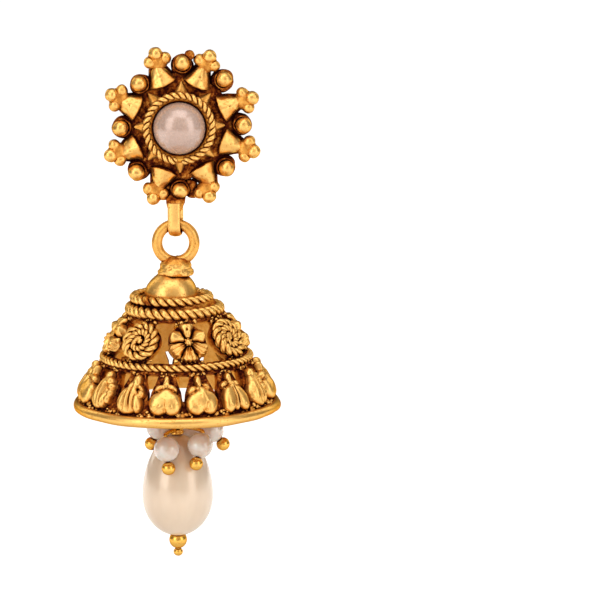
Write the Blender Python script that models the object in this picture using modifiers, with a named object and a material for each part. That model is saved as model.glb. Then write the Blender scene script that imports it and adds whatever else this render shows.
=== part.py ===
"""A bell drop earring: a flower stud with a pearl, a pierced bell hung from it, and a pearl drop in the bell.

Metres, +Z up. The origin is the middle of the stud's flat back. The front faces -Y and the ear is at +Y.
Angles on the stud run clockwise from the top, and angles on the bell run from the front towards +X.
"""

import math

import bmesh
import bpy
from mathutils import Matrix, Vector

MM = 0.001
MERGE = 0.000001
FLAT = 0.001
SLOPE_STEP = 0.1 * MM

# Stud
RAY_COUNT = 8
PLATE_RADIUS = 5.6 * MM
PLATE_THICKNESS = 0.8 * MM
STUD_PEARL_RADIUS = 2.68 * MM
STUD_PEARL_HEIGHT = 3.5 * MM
STUD_PEARL_GIRDLE = 1.1 * MM
STUD_PEARL_FIT = 0.15 * MM
BEZEL_ROPE = 0.83 * MM
BEZEL_HEIGHT = 1.3 * MM
BEZEL_WALL = 0.5 * MM
CONE_GAP = 0.77 * MM
CONE_LENGTH = 2.6 * MM
CONE_WIDTH = 2.35 * MM
CONE_TIP_WIDTH = 0.5 * MM
CONE_DEPTH = 1.75 * MM
CONE_BACK = 0.2 * MM
TIP_GRANULE = 1.26 * MM
SIDE_GRANULE = 1.04 * MM
BALL = 1.46 * MM
BALL_REACH = 0.6 * MM
CUP = 2.0 * MM
CUP_HEIGHT = 1.15 * MM
CUP_BACK = 0.12 * MM
SPARE_GRANULE = 0.96 * MM
SPARE_GRANULE_TURN = 49.0

# Post behind the stud
POST_DIAMETER = 0.9 * MM
POST_LENGTH = 11.0 * MM
POST_TAPER = 0.5 * MM
POST_PAD = 3.0 * MM
POST_PAD_THICKNESS = 0.4 * MM

# Hanging loop under the stud, and the bell's ring in it
BELL_X = -0.45 * MM
BELL_DEPTH = 1.3 * MM
NECK_LENGTH = 0.72 * MM
NECK_WIDTH = 1.9 * MM
NECK_DEPTH = 2.3 * MM
LOOP_LEG = 1.7 * MM
LOOP_WIDTH = 1.3 * MM
LOOP_THICKNESS = 0.5 * MM
LOOP_YAW = 10.0
LOOP_CLEARANCE = 0.11 * MM
RING_RADIUS = 1.85 * MM
RING_WIRE = 1.06 * MM

# Bell, from its collar down to its rim
COLLAR_DIAMETER = 3.4 * MM
COLLAR_HEIGHT = 1.15 * MM
COLLAR_OVERLAP = 0.4 * MM
CAP_RADIUS = 2.64 * MM
CAP_HEIGHT = 2.2 * MM
CAP_OVERLAP = 0.12 * MM
CAP_LEAN = -0.4 * MM
ROPE_1_RADIUS = 3.67 * MM
ROPE_1 = 0.95 * MM
ROPE_2_RADIUS = 4.4 * MM
ROPE_2 = 1.1 * MM
ROPE_3 = 0.73 * MM
ROPE_STEP = 1.1 * MM
BELL_HEIGHT = 9.7 * MM
RIM_RADIUS = 9.85 * MM
RIM_WIRE = 1.05 * MM
WALL_THICKNESS = 0.8 * MM
WALL_BULGE = 0.15 * MM
ROOF_THICKNESS = 1.0 * MM
ROPE_3_SHARE = 0.495

# Cast motifs on the bell and the windows between them
UPPER_COUNT = 8
UPPER_START = 10.6
UPPER_PLACE = 0.51
MOTIF_DISC = 3.8 * MM
MOTIF_SINK = 0.3 * MM
FLOWER = 3.95 * MM
FLOWER_HEIGHT = 0.55 * MM
PETAL_COUNT = 6
ROSETTE = 4.0 * MM
ROSETTE_WIRE = 0.62 * MM
ROSETTE_TURNS = 2.0
LOWER_COUNT = 16
LOWER_START = -7.1
LOWER_PLACE = 0.61
MANGO_WIDTH = 3.1 * MM
MANGO_LENGTH = 2.7 * MM
MANGO_HEIGHT = 1.0 * MM

# Inner loop under the bell's roof, and the drop on its pin
INNER_LOOP_RADIUS = 0.85 * MM
INNER_LOOP_WIRE = 0.56 * MM
INNER_LOOP_SINK = 0.35 * MM
PIN_WIRE = 0.5 * MM
PIN_EYE_RADIUS = 0.7 * MM
PIN_EYE_GAP = 0.08 * MM
SHANK_ABOVE_PEARL = 11.15 * MM
DROP_RADIUS = 3.5 * MM
DROP_SHOULDER = 6.3 * MM
DROP_BELLY = 4.1 * MM
DIMPLE_RADIUS = 0.98 * MM
DIMPLE_DEPTH = 0.42 * MM
DROP_BEAD = 1.8 * MM
DROP_BEAD_DROP = 0.55 * MM
END_BALL = 0.96 * MM
HOLE_CLEARANCE = 0.06 * MM
SEAT_GAP = 0.04 * MM

# Small beads round the pin, each on a head pin
SMALL_BEAD = 2.56 * MM
HEAD_WIRE = 0.3 * MM
HEAD_BALL = 1.32 * MM
HEAD_EYE_GAP = 0.06 * MM
EYE_PITCH = 0.36 * MM
FIRST_EYE = 0.6 * MM
STEM_RISE = 0.25 * MM
BEADS = (
    # angle, distance from the pin and height over the pearl in bead diameters, leans out and sideways, order
    {"angle": -18, "reach": 1.35, "height": -0.27, "out": 6, "side": 0, "eye": 0},
    {"angle": 41, "reach": 1.35, "height": -0.215, "out": 6, "side": -17, "eye": 1},
    {"angle": 98, "reach": 1.29, "height": 0.08, "out": 45, "side": 0, "eye": 4},
    {"angle": 150, "reach": 1.35, "height": -0.235, "out": 6, "side": 8, "eye": 2},
    {"angle": -160, "reach": 1.35, "height": -0.255, "out": 6, "side": -6, "eye": 3},
    {"angle": -110, "reach": 0.80, "height": 0.235, "out": 34, "side": 0, "eye": 5},
)

# Outlines and sections, as shares of the sizes above
MANGO_OUTLINE = (
    # across, along
    (0.00, 1.45),
    (0.22, 1.36),
    (0.20, 1.02),
    (0.66, 0.90),
    (0.62, 0.55),
    (0.98, -0.20),
    (0.90, -0.74),
    (0.48, -1.00),
    (0.00, -0.72),
)
LOWER_WINDOW = (
    # down the band, half width as a share of half the pitch
    (0.03, 0.46),
    (0.24, 0.30),
    (0.40, 0.10),
    (0.66, 0.07),
)

# Places worked out from the sizes
BEZEL_RADIUS = STUD_PEARL_RADIUS + STUD_PEARL_FIT + BEZEL_ROPE / 2
CONE_START = BEZEL_RADIUS + BEZEL_ROPE / 2 + CONE_GAP
CONE_END = CONE_START + CONE_LENGTH
BALL_PLACE = PLATE_RADIUS + BALL_REACH
NECK_BOTTOM = -(BALL_PLACE + CUP / 2 + NECK_LENGTH)
PIVOT = Vector((BELL_X, -BELL_DEPTH, NECK_BOTTOM - LOOP_LEG))
LOOP_RADIUS = RING_WIRE / 2 + LOOP_CLEARANCE + LOOP_THICKNESS / 2
RING_Z = PIVOT.z - RING_RADIUS
COLLAR_TOP = RING_Z - RING_RADIUS - RING_WIRE / 2 + COLLAR_OVERLAP
CAP_TOP = COLLAR_TOP - COLLAR_HEIGHT + CAP_OVERLAP
ROOF_Z = CAP_TOP - CAP_HEIGHT
ROPE_1_Z = ROOF_Z - ROPE_1 / 4
ROPE_2_Z = ROPE_1_Z - ROPE_STEP
RIM_Z = ROPE_2_Z - BELL_HEIGHT
ROPE_3_Z = ROPE_2_Z - BELL_HEIGHT * ROPE_3_SHARE
CEILING_Z = ROOF_Z - ROOF_THICKNESS
SLOPE_STRETCH = math.hypot(1.0, (RIM_RADIUS - ROPE_2_RADIUS) / BELL_HEIGHT)
UPPER_Z = ROPE_2_Z + (ROPE_3_Z - ROPE_2_Z) * UPPER_PLACE
LOWER_Z = ROPE_3_Z + (RIM_Z - ROPE_3_Z) * LOWER_PLACE
INNER_PIVOT = Vector((BELL_X, -BELL_DEPTH, CEILING_Z + INNER_LOOP_SINK - 2 * INNER_LOOP_RADIUS))
PIN_EYE_Z = INNER_PIVOT.z + INNER_LOOP_WIRE / 2 + PIN_EYE_GAP + PIN_WIRE / 2 - PIN_EYE_RADIUS
PEARL_TOP = PIN_EYE_Z - PIN_EYE_RADIUS - SHANK_ABOVE_PEARL
PEARL_MIDDLE = PEARL_TOP - DROP_SHOULDER
PEARL_BOTTOM = PEARL_MIDDLE - DROP_BELLY
DROP_BEAD_Z = PEARL_BOTTOM - DROP_BEAD_DROP + SEAT_GAP
PIN_HOLE = PIN_WIRE / 2 + HOLE_CLEARANCE
HEAD_HOLE = HEAD_WIRE / 2 + HOLE_CLEARANCE
END_BALL_Z = DROP_BEAD_Z - math.sqrt((DROP_BEAD / 2) ** 2 - PIN_HOLE**2) - SEAT_GAP - END_BALL * 0.4


def clear_scene():
    """Removes what the file held, and makes a collection for the parts and one for working shapes."""
    for old in list(bpy.data.objects):
        bpy.data.objects.remove(old)
    parts = bpy.data.collections.new("jhumka_earring")
    shapes = bpy.data.collections.new("cutters")
    bpy.context.scene.collection.children.link(parts)
    bpy.context.scene.collection.children.link(shapes)
    return parts, shapes


PARTS, SHAPES = clear_scene()


def material(name, colour, metallic, roughness):
    """A Principled material."""
    made = bpy.data.materials.new(name)
    made.use_nodes = True
    shader = made.node_tree.nodes["Principled BSDF"]
    shader.inputs["Base Color"].default_value = (*colour, 1.0)
    shader.inputs["Metallic"].default_value = metallic
    shader.inputs["Roughness"].default_value = roughness
    return made


def shape(name, bm, warped=False):
    """A working object, kept out of renders. Warped faces are split, because a Boolean needs flat ones."""
    if warped:
        bmesh.ops.recalc_face_normals(bm, faces=bm.faces)
        bmesh.ops.connect_verts_nonplanar(bm, angle_limit=FLAT, faces=bm.faces)
    mesh = bpy.data.meshes.new(name)
    bm.to_mesh(mesh)
    bm.free()
    made = bpy.data.objects.new(name, mesh)
    made.hide_render = True
    made.display_type = "WIRE"
    SHAPES.objects.link(made)
    return made


def evaluated_mesh(item):
    """The mesh that an object shows, with its modifiers or its curve's bevel."""
    bpy.context.view_layer.update()
    graph = bpy.context.evaluated_depsgraph_get()
    return bpy.data.meshes.new_from_object(item.evaluated_get(graph))


def turned(name, profile, steps, closed=False):
    """A shape turned about its own Z axis from (radius, height) points that run down its outer side."""
    bm = bmesh.new()
    points = [bm.verts.new((radius, 0.0, height)) for radius, height in profile]
    for first, second in zip(points, points[1:]):
        bm.edges.new((first, second))
    if closed:
        bm.edges.new((points[-1], points[0]))
    made = shape(name, bm)
    screw = made.modifiers.new("turn", "SCREW")
    screw.steps = steps
    screw.render_steps = steps
    screw.use_merge_vertices = True
    screw.merge_threshold = MERGE
    made.data = evaluated_mesh(made)
    made.modifiers.clear()
    return made


def wire(name, points, diameter, resolution=1, cyclic=False):
    """A round wire along points, as a closed mesh."""
    curve = bpy.data.curves.new(name, "CURVE")
    curve.dimensions = "3D"
    curve.bevel_depth = diameter / 2
    curve.bevel_resolution = resolution
    curve.use_fill_caps = True
    line = curve.splines.new("POLY")
    line.points.add(len(points) - 1)
    for spot, place in zip(line.points, points):
        spot.co = (*place, 1.0)
    line.use_cyclic_u = cyclic
    path = bpy.data.objects.new(name, curve)
    SHAPES.objects.link(path)
    mesh = evaluated_mesh(path)
    bpy.data.objects.remove(path)
    bm = bmesh.new()
    bm.from_mesh(mesh)
    bmesh.ops.remove_doubles(bm, verts=bm.verts, dist=MERGE)
    return shape(name, bm, warped=True)


def torus(name, radius, thickness, segments, sides, matrix):
    """A ring of round wire in the matrix's XY plane."""
    bpy.ops.mesh.primitive_torus_add(
        major_segments=segments, minor_segments=sides, major_radius=radius, minor_radius=thickness / 2
    )
    made = bpy.context.object
    mesh = made.data.copy()
    bpy.data.objects.remove(made)
    mesh.transform(matrix)
    bm = bmesh.new()
    bm.from_mesh(mesh)
    return shape(name, bm)


def ball(name, diameter, matrix, segments=10, rings=6, squash=1.0):
    """A ball at the matrix, its poles along the matrix's Z axis and shortened there by squash."""
    bm = bmesh.new()
    place = matrix @ Matrix.Diagonal((1.0, 1.0, squash, 1.0))
    bmesh.ops.create_uvsphere(bm, u_segments=segments, v_segments=rings, radius=diameter / 2, matrix=place)
    return shape(name, bm)


def frustum(name, bottom, top, height, segments, matrix):
    """A cone or cylinder from the matrix's origin up its Z axis."""
    bm = bmesh.new()
    place = matrix @ Matrix.Translation((0.0, 0.0, height / 2))
    bmesh.ops.create_cone(
        bm, cap_ends=True, segments=segments, radius1=bottom, radius2=top, depth=height, matrix=place
    )
    return shape(name, bm)


def boolean(base, tools, operation):
    """Applies one exact Boolean of the tools to base, and removes them."""
    group = bpy.data.collections.new("tools")
    for tool in tools:
        group.objects.link(tool)
    step = base.modifiers.new(operation.lower(), "BOOLEAN")
    step.operation = operation
    step.solver = "EXACT"
    step.operand_type = "COLLECTION"
    step.collection = group
    base.data = evaluated_mesh(base)
    base.modifiers.clear()
    for tool in tools:
        bpy.data.objects.remove(tool)
    bpy.data.collections.remove(group)
    return base


def finished(name, item, finish, origin=Vector((0.0, 0.0, 0.0)), smooth=35.0):
    """Turns a working shape into a part with its origin at the given point."""
    item.name = name
    item.data.name = name
    item.data.transform(Matrix.Translation(-origin))
    item.location = origin
    item.hide_render = False
    item.display_type = "TEXTURED"
    item.data.materials.clear()
    item.data.materials.append(finish)
    item.data.shade_smooth()
    item.data.set_sharp_from_angle(angle=math.radians(smooth))
    SHAPES.objects.unlink(item)
    PARTS.objects.link(item)
    return item


def across(height):
    """A matrix that lays a shape's Z axis along -Y, starting at a depth in front of the stud's back."""
    return Matrix.Translation((0.0, -height, 0.0)) @ Matrix.Rotation(math.radians(90), 4, "X")


def ray(degrees):
    """A frame with its X axis along the stud's edge, Y axis to the ear and Z axis out from the middle."""
    return Matrix.Rotation(math.radians(degrees), 4, "Y")


def stud_spot(degrees, reach, depth, side=0.0):
    """A place on the stud: an angle from the top, a distance from the middle and a depth before the back."""
    return ray(degrees) @ Matrix.Translation((side, -depth, reach))


def plate():
    """The eight-sided base plate, its corners under the balls."""
    bm = bmesh.new()
    bmesh.ops.create_cone(
        bm,
        cap_ends=True,
        segments=RAY_COUNT,
        radius1=PLATE_RADIUS,
        radius2=PLATE_RADIUS,
        depth=PLATE_THICKNESS,
        matrix=across(PLATE_THICKNESS / 2),
    )
    return shape("plate", bm)


def cone_and_granules(degrees):
    """One pointed cone lying on the plate, with three granules at its tip."""
    middle = CONE_BACK + CONE_DEPTH / 2
    flatten = Matrix.Diagonal((1.0, CONE_DEPTH / CONE_WIDTH, 1.0, 1.0))
    base = stud_spot(degrees, CONE_START, middle) @ flatten
    cone = frustum("cone", CONE_WIDTH / 2, CONE_TIP_WIDTH / 2, CONE_LENGTH, 8, base)
    tip_reach = CONE_END + TIP_GRANULE * 0.36
    side_reach = CONE_END - SIDE_GRANULE * 0.12
    pieces = [cone, ball("tip_granule", TIP_GRANULE, stud_spot(degrees, tip_reach, middle), 8, 5)]
    for side in (-1, 1):
        spot = stud_spot(degrees, side_reach, middle - CONE_BACK, side * SIDE_GRANULE * 0.8)
        pieces.append(ball("side_granule", SIDE_GRANULE, spot, 7, 4))
    return pieces


def ball_and_cup(degrees):
    """One ball in its low cup, on the plate's edge between two cones."""
    base = stud_spot(degrees, BALL_PLACE, CUP_BACK) @ Matrix.Rotation(math.radians(90), 4, "X")
    cup = frustum("cup", CUP / 2, CUP / 2, CUP_HEIGHT, 8, base)
    depth = CUP_BACK + CUP_HEIGHT + BALL * 0.12
    top = stud_spot(degrees, BALL_PLACE, depth) @ Matrix.Rotation(math.radians(90), 4, "X")
    return [cup, ball("ball", BALL, top, 8, 5)]


def bezel():
    """The wall and the rope ring that hold the stud's pearl."""
    inner = BEZEL_RADIUS - BEZEL_ROPE / 2
    low = -PLATE_THICKNESS / 2
    profile = (
        (inner + BEZEL_WALL, BEZEL_HEIGHT),
        (inner + BEZEL_WALL, low),
        (inner, low),
        (inner, BEZEL_HEIGHT),
    )
    wall = turned("bezel_wall", profile, 16, closed=True)
    wall.data.transform(across(PLATE_THICKNESS))
    rope = torus("bezel_rope", BEZEL_RADIUS, BEZEL_ROPE, 24, 5, across(PLATE_THICKNESS + BEZEL_HEIGHT))
    return [wall, rope]


def hanging_loop():
    """The neck under the stud and the flat band that hangs from it, in which the bell's ring swings."""
    yaw = Matrix.Translation(PIVOT) @ Matrix.Rotation(math.radians(-LOOP_YAW), 4, "Z")
    neck_top = -BALL_PLACE
    height = neck_top - NECK_BOTTOM
    deep = Matrix.Diagonal((1.0, NECK_DEPTH / NECK_WIDTH, 1.0, 1.0))
    base = yaw @ Matrix.Translation((0.0, 0.0, NECK_BOTTOM - PIVOT.z)) @ deep
    flat_front = base @ Matrix.Rotation(math.pi / 8, 4, "Z")
    neck = frustum("neck", NECK_WIDTH * 0.42, NECK_WIDTH * 0.58, height, 8, flat_front)
    rise = NECK_BOTTOM - PIVOT.z + height / 2
    points = [(-LOOP_RADIUS, rise), (-LOOP_RADIUS, rise / 2)]
    for step in range(9):
        turn = math.pi * step / 8
        points.append((-LOOP_RADIUS * math.cos(turn), -LOOP_RADIUS * math.sin(turn)))
    points += [(LOOP_RADIUS, rise / 2), (LOOP_RADIUS, rise)]
    band = flat_band("loop_band", points, LOOP_WIDTH, LOOP_THICKNESS)
    band.data.transform(yaw)
    return [neck, band]


def flat_band(name, points, width, thickness):
    """A band with rounded edges that follows (y, z) points, its width along X."""
    section = (
        (-0.5, -0.15),
        (-0.5, 0.15),
        (-0.3, 0.5),
        (0.3, 0.5),
        (0.5, 0.15),
        (0.5, -0.15),
        (0.3, -0.5),
        (-0.3, -0.5),
    )
    bm = bmesh.new()
    rows = []
    for index, point in enumerate(points):
        before = Vector(points[max(index - 1, 0)])
        after = Vector(points[min(index + 1, len(points) - 1)])
        along = (after - before).normalized()
        normal = Vector((along.y, -along.x))
        row = []
        for share_x, share_t in section:
            spot = Vector(point) + normal * share_t * thickness
            row.append(bm.verts.new((share_x * width, spot.x, spot.y)))
        rows.append(row)
    for first, second in zip(rows, rows[1:]):
        for index in range(len(section)):
            follow = (index + 1) % len(section)
            bm.faces.new((first[index], first[follow], second[follow], second[index]))
    bm.faces.new(rows[0])
    bm.faces.new(rows[-1])
    return shape(name, bm, warped=True)


def rosette(gold):
    """The stud's soldered metal: plate, bezel, cones, balls and the hanging loop."""
    pieces = bezel() + hanging_loop()
    pitch = 360.0 / RAY_COUNT
    for index in range(RAY_COUNT):
        pieces += cone_and_granules(pitch * (index + 0.5))
        pieces += ball_and_cup(pitch * index)
    turn = math.radians(SPARE_GRANULE_TURN)
    away = CUP / 2 + SPARE_GRANULE * 0.42
    depth = (CUP_BACK + CUP_HEIGHT) * 0.8
    spare = stud_spot(0.0, BALL_PLACE + away * math.cos(turn), depth, away * math.sin(turn))
    pieces.append(ball("spare_granule", SPARE_GRANULE, spare, 8, 5))
    return finished("rosette", boolean(plate(), pieces, "UNION"), gold)


def ear_post(metal):
    """The plain post that goes through the ear, on its solder pad."""
    tip = POST_LENGTH - POST_TAPER
    profile = (
        (0.0, POST_LENGTH),
        (POST_DIAMETER / 4, POST_LENGTH),
        (POST_DIAMETER / 2, tip),
        (POST_DIAMETER / 2, POST_PAD_THICKNESS),
        (POST_PAD / 2, POST_PAD_THICKNESS),
        (POST_PAD / 2, SEAT_GAP),
        (0.0, SEAT_GAP),
    )
    post = turned("post", profile, 10)
    post.data.transform(Matrix.Rotation(math.radians(-90), 4, "X"))
    return finished("ear_post", post, metal)


def stud_pearl(pearl):
    """The half pearl in the bezel."""
    back = PLATE_THICKNESS + SEAT_GAP
    profile = []
    for step in range(6):
        turn = math.radians(90) * (1 - step / 5)
        radius = STUD_PEARL_RADIUS * math.cos(turn)
        profile.append((radius, STUD_PEARL_GIRDLE + (STUD_PEARL_HEIGHT - STUD_PEARL_GIRDLE) * math.sin(turn)))
    profile[0] = (0.0, STUD_PEARL_HEIGHT)
    profile.append((STUD_PEARL_RADIUS * 0.97, 0.0))
    profile.append((0.0, 0.0))
    made = turned("stud_pearl", profile, 16)
    made.data.transform(across(back))
    return finished("stud_pearl", made, pearl, smooth=60.0)


def wall_radius(z):
    """The outer radius of the bell's wall at a height."""
    share = (ROPE_2_Z - z) / BELL_HEIGHT
    flare = (RIM_RADIUS - ROPE_2_RADIUS) * share
    return ROPE_2_RADIUS + flare + WALL_BULGE * math.sin(math.pi * share)


def bell_spot(degrees, radius, z):
    """A place on the bell: an angle from the front towards +X, a distance from the axis, and a height."""
    turn = math.radians(degrees)
    return Vector((PIVOT.x + radius * math.sin(turn), PIVOT.y - radius * math.cos(turn), z))


def wall_frame(degrees, z, lift=0.0):
    """A frame on the bell's wall: X along the band, Y up the slope, Z out of the wall."""
    slope = (wall_radius(z - SLOPE_STEP) - wall_radius(z + SLOPE_STEP)) / (2 * SLOPE_STEP)
    turn = math.radians(degrees)
    out = Vector((math.sin(turn), -math.cos(turn), 0.0))
    up = (Vector((0.0, 0.0, 1.0)) - out * slope).normalized()
    normal = (out + Vector((0.0, 0.0, slope))).normalized()
    along = up.cross(normal)
    spot = bell_spot(degrees, wall_radius(z), z) + normal * lift
    frame = Matrix((along, up, normal)).transposed().to_4x4()
    return Matrix.Translation(spot) @ frame


def round_edge(radius, z, thickness, first, last, count):
    """Profile points round a wire's outer side, between two angles above the level."""
    points = []
    for step in range(count):
        turn = math.radians(first + (last - first) * step / (count - 1))
        points.append((radius + thickness / 2 * math.cos(turn), z + thickness / 2 * math.sin(turn)))
    return points


def bell_wall():
    """The turned bell with its third rope and its rim, closed at the roof and open below."""
    wall = WALL_THICKNESS * SLOPE_STRETCH
    roof = ROOF_Z - ROPE_1 * 0.1
    between = (ROPE_3_Z + RIM_Z) / 2
    profile = [(0.0, roof), (ROPE_1_RADIUS - ROPE_1 / 4, roof), (ROPE_2_RADIUS, ROPE_2_Z)]
    profile.append((wall_radius(UPPER_Z), UPPER_Z))
    profile += round_edge(wall_radius(ROPE_3_Z) + ROPE_3 * 0.1, ROPE_3_Z, ROPE_3, 130, -70, 4)
    profile.append((wall_radius(between), between))
    profile += round_edge(RIM_RADIUS, RIM_Z, RIM_WIRE, 110, -90, 5)
    profile.append((RIM_RADIUS - wall, RIM_Z - RIM_WIRE * 0.2))
    profile.append((wall_radius(between) - wall, between))
    profile.append((ROPE_2_RADIUS - wall, CEILING_Z))
    profile.append((0.0, CEILING_Z))
    made = turned("bell", profile, 32)
    made.data.transform(Matrix.Translation((PIVOT.x, PIVOT.y, 0.0)))
    return made


def prism(name, outline, depth, matrix):
    """A straight bar with the outline of (x, y) points as its section, reaching depth either way along Z."""
    bm = bmesh.new()
    ends = []
    for z in (-depth, depth):
        ends.append([bm.verts.new((x, y, z)) for x, y in outline])
    for index in range(len(outline)):
        follow = (index + 1) % len(outline)
        bm.faces.new((ends[0][index], ends[0][follow], ends[1][follow], ends[1][index]))
    bm.faces.new(ends[0])
    bm.faces.new(ends[1])
    bmesh.ops.transform(bm, matrix=matrix, verts=bm.verts)
    bmesh.ops.recalc_face_normals(bm, faces=bm.faces)
    return shape(name, bm)


def window(degrees, rows):
    """A cutter square to the wall, from rows of height and half width."""
    middle = (rows[0][0] + rows[-1][0]) / 2
    frame = wall_frame(degrees, middle)
    right = [(half, (z - middle) * SLOPE_STRETCH) for z, half in rows]
    left = [(-x, y) for x, y in reversed(right)]
    return prism("window", right + left, 2.2 * WALL_THICKNESS, frame)


def upper_windows():
    """The waisted windows that leave a disc of wall behind each flower and rosette."""
    top = ROPE_2_Z - ROPE_2 * 0.5
    bottom = ROPE_3_Z + ROPE_3 * 0.58
    pitch = 360.0 / UPPER_COUNT
    rows = []
    for step in range(5):
        z = top + (bottom - top) * step / 4
        away = min(abs(z - UPPER_Z) * SLOPE_STRETCH, MOTIF_DISC * 0.46)
        chord = math.sqrt((MOTIF_DISC / 2) ** 2 - away**2)
        half = math.radians(pitch / 2) - math.asin(chord / wall_radius(z))
        rows.append((z, wall_radius(z) * math.sin(half)))
    return [window(UPPER_START + pitch * (index + 0.5), rows) for index in range(UPPER_COUNT)]


def lower_windows():
    """The small three-cornered windows under the third rope, each with a slot down between two motifs."""
    top = ROPE_3_Z - ROPE_3 * 0.58
    band = top - RIM_Z
    pitch = 360.0 / LOWER_COUNT
    rows = []
    for down, share in LOWER_WINDOW:
        z = top - band * down
        rows.append((z, wall_radius(z) * math.radians(pitch / 2) * share))
    return [window(LOWER_START + pitch * (index + 0.5), rows) for index in range(LOWER_COUNT)]


def dome(name, outline, levels, matrix, crease=0.0):
    """A cushion over (x, y) points, from levels of share and height up to its creased peak."""
    bm = bmesh.new()
    height = levels[-1][1]
    middle = sum((Vector(point) for point in outline), Vector((0.0, 0.0))) / len(outline)
    widest = max(abs(point[0]) for point in outline)
    rings = []
    for share, z in levels[:-1]:
        ring = []
        for point in outline:
            flat = middle + (Vector(point) - middle) * share
            groove = crease * height * max(0.0, 1 - abs(flat.x) / (widest * 0.3)) if z > 0 else 0.0
            ring.append(bm.verts.new((flat.x, flat.y, z - groove)))
        rings.append(ring)
    for low, high in zip(rings, rings[1:]):
        for index in range(len(outline)):
            follow = (index + 1) % len(outline)
            bm.faces.new((low[index], low[follow], high[follow], high[index]))
    peak = bm.verts.new((middle.x, middle.y, height * (1 - crease)))
    for index in range(len(outline)):
        bm.faces.new((rings[-1][index], rings[-1][(index + 1) % len(outline)], peak))
    bm.faces.new(rings[0])
    bmesh.ops.transform(bm, matrix=matrix, verts=bm.verts)
    return shape(name, bm, warped=True)


def flower(degrees):
    """One six-petalled flower in the upper band."""
    frame = wall_frame(degrees, UPPER_Z)
    eye = frame @ Matrix.Translation((0.0, 0.0, FLOWER_HEIGHT * 0.5))
    pieces = [ball("flower_eye", FLOWER * 0.3, eye, 6, 3)]
    long = FLOWER * 0.2
    wide = FLOWER * 0.155
    levels = ((1.0, -MOTIF_SINK), (0.9, FLOWER_HEIGHT * 0.55), (0.0, FLOWER_HEIGHT))
    outline = []
    for step in range(6):
        turn = 2 * math.pi * step / 6
        outline.append((wide * math.sin(turn) * (1 + 0.25 * math.cos(turn)), long * math.cos(turn)))
    for index in range(PETAL_COUNT):
        spin = Matrix.Rotation(2 * math.pi * index / PETAL_COUNT, 4, "Z")
        place = frame @ spin @ Matrix.Translation((0.0, FLOWER / 2 - long, 0.0))
        pieces.append(dome("petal", outline, levels, place))
    return pieces


def spiral(degrees):
    """One coiled-wire rosette in the upper band."""
    frame = wall_frame(degrees, UPPER_Z, ROSETTE_WIRE * 0.25)
    per_turn = 8
    count = round(ROSETTE_TURNS * per_turn)
    start = ROSETTE_WIRE * 0.3
    end = ROSETTE / 2 - ROSETTE_WIRE / 2
    points = []
    for step in range(count + 1):
        share = step / count
        turn = 2 * math.pi * ROSETTE_TURNS * share
        radius = start + (end - start) * share**0.8
        lift = ROSETTE_WIRE * 0.35 * (1 - share)
        points.append(frame @ Vector((radius * math.sin(turn), radius * math.cos(turn), lift)))
    return [wire("spiral", points, ROSETTE_WIRE)]


def mango(degrees):
    """One two-lobed fruit with a leaf collar and a stem, in the lower band."""
    frame = wall_frame(degrees, LOWER_Z)
    half = MANGO_WIDTH / 2
    long = MANGO_LENGTH / 2
    right = [(across_share * half, along * long) for across_share, along in MANGO_OUTLINE]
    left = [(-x, y) for x, y in reversed(right[1:-1])]
    levels = ((1.0, -MOTIF_SINK), (0.9, MANGO_HEIGHT * 0.55), (0.5, MANGO_HEIGHT * 0.95), (0.0, MANGO_HEIGHT))
    return [dome("mango", right + left, levels, frame, crease=0.3)]


def ring_and_cap():
    """The ring, the collar under it and the round cap, a little off the bell's axis."""
    upright = Matrix.Translation((PIVOT.x, PIVOT.y, RING_Z)) @ Matrix.Rotation(math.radians(90), 4, "X")
    ring = torus("ring", RING_RADIUS, RING_WIRE, 20, 6, upright)
    round_off = COLLAR_HEIGHT * 0.3
    collar_bottom = COLLAR_TOP - COLLAR_HEIGHT
    profile = (
        (0.0, COLLAR_TOP),
        (COLLAR_DIAMETER / 2 - round_off, COLLAR_TOP),
        (COLLAR_DIAMETER / 2, COLLAR_TOP - round_off),
        (COLLAR_DIAMETER / 2, collar_bottom + round_off),
        (COLLAR_DIAMETER / 2 - round_off, collar_bottom),
        (0.0, collar_bottom),
    )
    collar = turned("collar", profile, 12)
    collar.data.transform(Matrix.Translation((PIVOT.x, PIVOT.y, 0.0)))
    arc = []
    for step in range(5):
        turn = math.radians(90) * (1 - step / 4)
        arc.append((CAP_RADIUS * math.cos(turn), ROOF_Z + CAP_HEIGHT * math.sin(turn)))
    arc[0] = (0.0, CAP_TOP)
    arc.append((CAP_RADIUS, ROOF_Z - ROPE_1 / 3))
    arc.append((0.0, ROOF_Z - ROPE_1 / 3))
    cap = turned("cap", arc, 16)
    cap.data.transform(Matrix.Translation((PIVOT.x + CAP_LEAN, PIVOT.y, 0.0)))
    return [ring, collar, cap]


def level(x_shift, z):
    """A flat frame on the bell's axis."""
    return Matrix.Translation((PIVOT.x + x_shift, PIVOT.y, z))


def upper_ropes():
    """The two rope rings round the cap."""
    return [
        torus("rope_1", ROPE_1_RADIUS, ROPE_1, 26, 5, level(CAP_LEAN, ROPE_1_Z)),
        torus("rope_2", ROPE_2_RADIUS, ROPE_2, 28, 5, level(CAP_LEAN / 3, ROPE_2_Z)),
    ]


def inner_loop():
    """The loop under the roof on which the drop hangs."""
    middle = INNER_PIVOT + Vector((0.0, 0.0, INNER_LOOP_RADIUS))
    upright = Matrix.Translation(middle) @ Matrix.Rotation(math.radians(90), 4, "X")
    return torus("inner_loop", INNER_LOOP_RADIUS, INNER_LOOP_WIRE, 12, 5, upright)


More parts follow.
